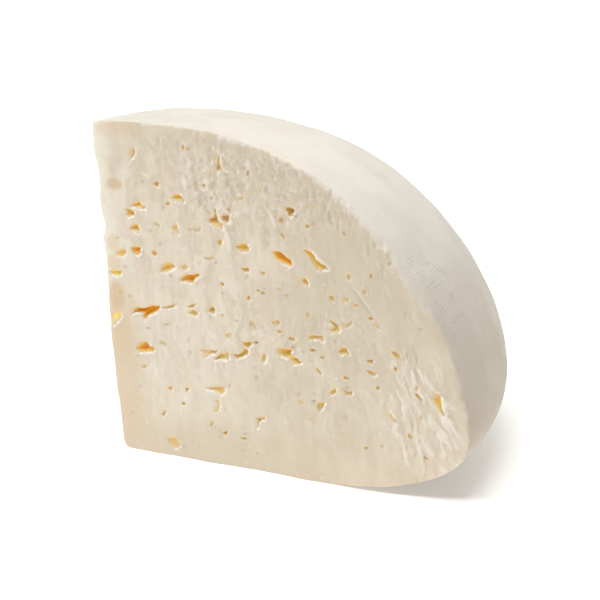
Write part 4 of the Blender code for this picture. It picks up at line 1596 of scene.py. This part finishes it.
def makeWedge():
    finishes = {"rind": makeRind(), "paste": makePaste(), "eyes": makeHollow()}
    wedge = spinHead()
    wedge.name = "brynzaWedge"
    settleHead(wedge)
    wedge.data.materials.append(finishes["rind"])
    addHeel(wedge)
    report("head spun and settled")

    knives = newShelf("knives")
    pockets = newShelf("eyeHollows")
    finders = []
    for cut, mouths in ((firstCut, firstCutMouths()), (secondCut, secondCutMouths())):
        finders.append(mouthFinder(mouths))
        slab = knifeSlab(cut, finders[-1])
        slab.data.materials.append(finishes["paste"])
        putOn(knives, slab)
        for mouth in mouths:
            pocket = eyePocket(cut, mouth)
            pocket.data.materials.append(finishes["eyes"])
            putOn(pockets, pocket)
        report(f"{cut['name']} ready, with {len(mouths)} eyes")
    carve(wedge, "cuts", knives)
    report("wedge cut out")
    carve(wedge, "eyes", pockets)
    report("eyes opened")
    names = [material.name for material in wedge.data.materials]
    rind, paste, eye = (names.index(finishes[key].name) for key in ("rind", "paste", "eyes"))
    soften(wedge, edgesBetween(wedge, paste, eye), softening["mouths"])
    soften(wedge, edgesBetween(wedge, paste, rind), softening["rim"])
    reach = softening["thinReach"]
    thin = [point.index for point in wedge.data.vertices if math.hypot(point.co.x, point.co.y) < reach]
    soften(wedge, thin, softening["thin"], softening["thinPush"])
    noteFinish(wedge, finders, paste)
    keepInside(wedge)

    startEditing(wedge)
    bpy.ops.transform.translate(value=tuple(thinEdge))
    stopEditing()
    pickOnly(wedge)
    bpy.ops.object.shade_smooth_by_angle(angle=math.radians(softening["keepSharp"]))
    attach(wedge, "root")
    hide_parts(wedgePlace["node"])
    report(f"wedge finished, {sum(len(f.vertices) - 2 for f in wedge.data.polygons)} triangles")
    return wedge


# floor, light and camera

studio = {
    "floorSize": 14.0,
    "floorColour": (0.92, 0.92, 0.915),
    # the floor is a matt pale panel, lit a little from below
    "floorFinish": {"Roughness": 0.9, "Specular IOR Level": 0.1, "Emission Strength": 0.28},
    "sky": (0.04, (1.0, 0.99, 0.98)),
    "aim": Vector((-9.5, -26.4, 40.8)) * mm,
    # name: azimuth from the front, elevation, width in degrees, strength, colour
    "lamps": {
        "overhead": (-30, 80, 50, 2.75, (1.0, 0.995, 0.985)),
        "window": (-40, 57, 18, 0.85, (1.0, 0.985, 0.955)),
        "backlight": (180, 36, 40, 0.9, (1.0, 0.995, 0.99)),
    },
}

cameraView = {
    "azimuth": 33.15,
    "elevation": 15.33,
    "roll": -3.97,
    "distance": 394.5 * mm,
    "lens": 84,
    "sensor": 36,
    "clip": (0.01, 50),
}


def towards(azimuth, elevation):
    # the direction from the aim to something at this azimuth and elevation
    turn, rise = math.radians(azimuth), math.radians(elevation)
    return Vector((math.sin(turn) * math.cos(rise), -math.cos(turn) * math.cos(rise), math.sin(rise)))


def layFloor():
    bpy.ops.mesh.primitive_plane_add(size=studio["floorSize"])
    floor = bpy.context.object
    floor.name = "paleFloor"
    recipe = Recipe("paleFloor")
    for name in ("Base Color", "Emission Color"):
        recipe.feed(recipe.shader, {name: (*studio["floorColour"], 1.0)})
    recipe.feed(recipe.shader, studio["floorFinish"])
    floor.data.materials.append(recipe.material)


def hangLamps():
    for name, (azimuth, elevation, wide, strength, colour) in studio["lamps"].items():
        away = towards(azimuth, elevation)
        bpy.ops.object.light_add(type="SUN", location=studio["aim"] + away)
        lamp = bpy.context.object
        lamp.name = name
        lamp.data.angle = math.radians(wide)
        lamp.data.energy = strength
        lamp.data.color = colour
        lamp.rotation_euler = away.to_track_quat("Z", "Y").to_euler()


def lightSky():
    strength, colour = studio["sky"]
    world = bpy.data.worlds.new("softSky")
    world.use_nodes = True
    sky = world.node_tree.nodes["Background"]
    sky.inputs["Color"].default_value = (*colour, 1.0)
    sky.inputs["Strength"].default_value = strength
    bpy.context.scene.world = world
    bpy.context.scene.view_settings.view_transform = "Standard"


def setCamera():
    view = cameraView
    away = towards(view["azimuth"], view["elevation"])
    bpy.ops.object.camera_add(location=studio["aim"] + away * view["distance"])
    camera = bpy.context.object
    camera.data.lens = view["lens"]
    camera.data.sensor_width = view["sensor"]
    camera.data.clip_start, camera.data.clip_end = view["clip"]
    upright = away.to_track_quat("Z", "Y").to_matrix()
    camera.rotation_euler = (upright @ Matrix.Rotation(math.radians(view["roll"]), 3, "Z")).to_euler()
    bpy.context.scene.camera = camera


setCamera()
makeWedge()
layFloor()
hangLamps()
lightSky()
report("studio set")
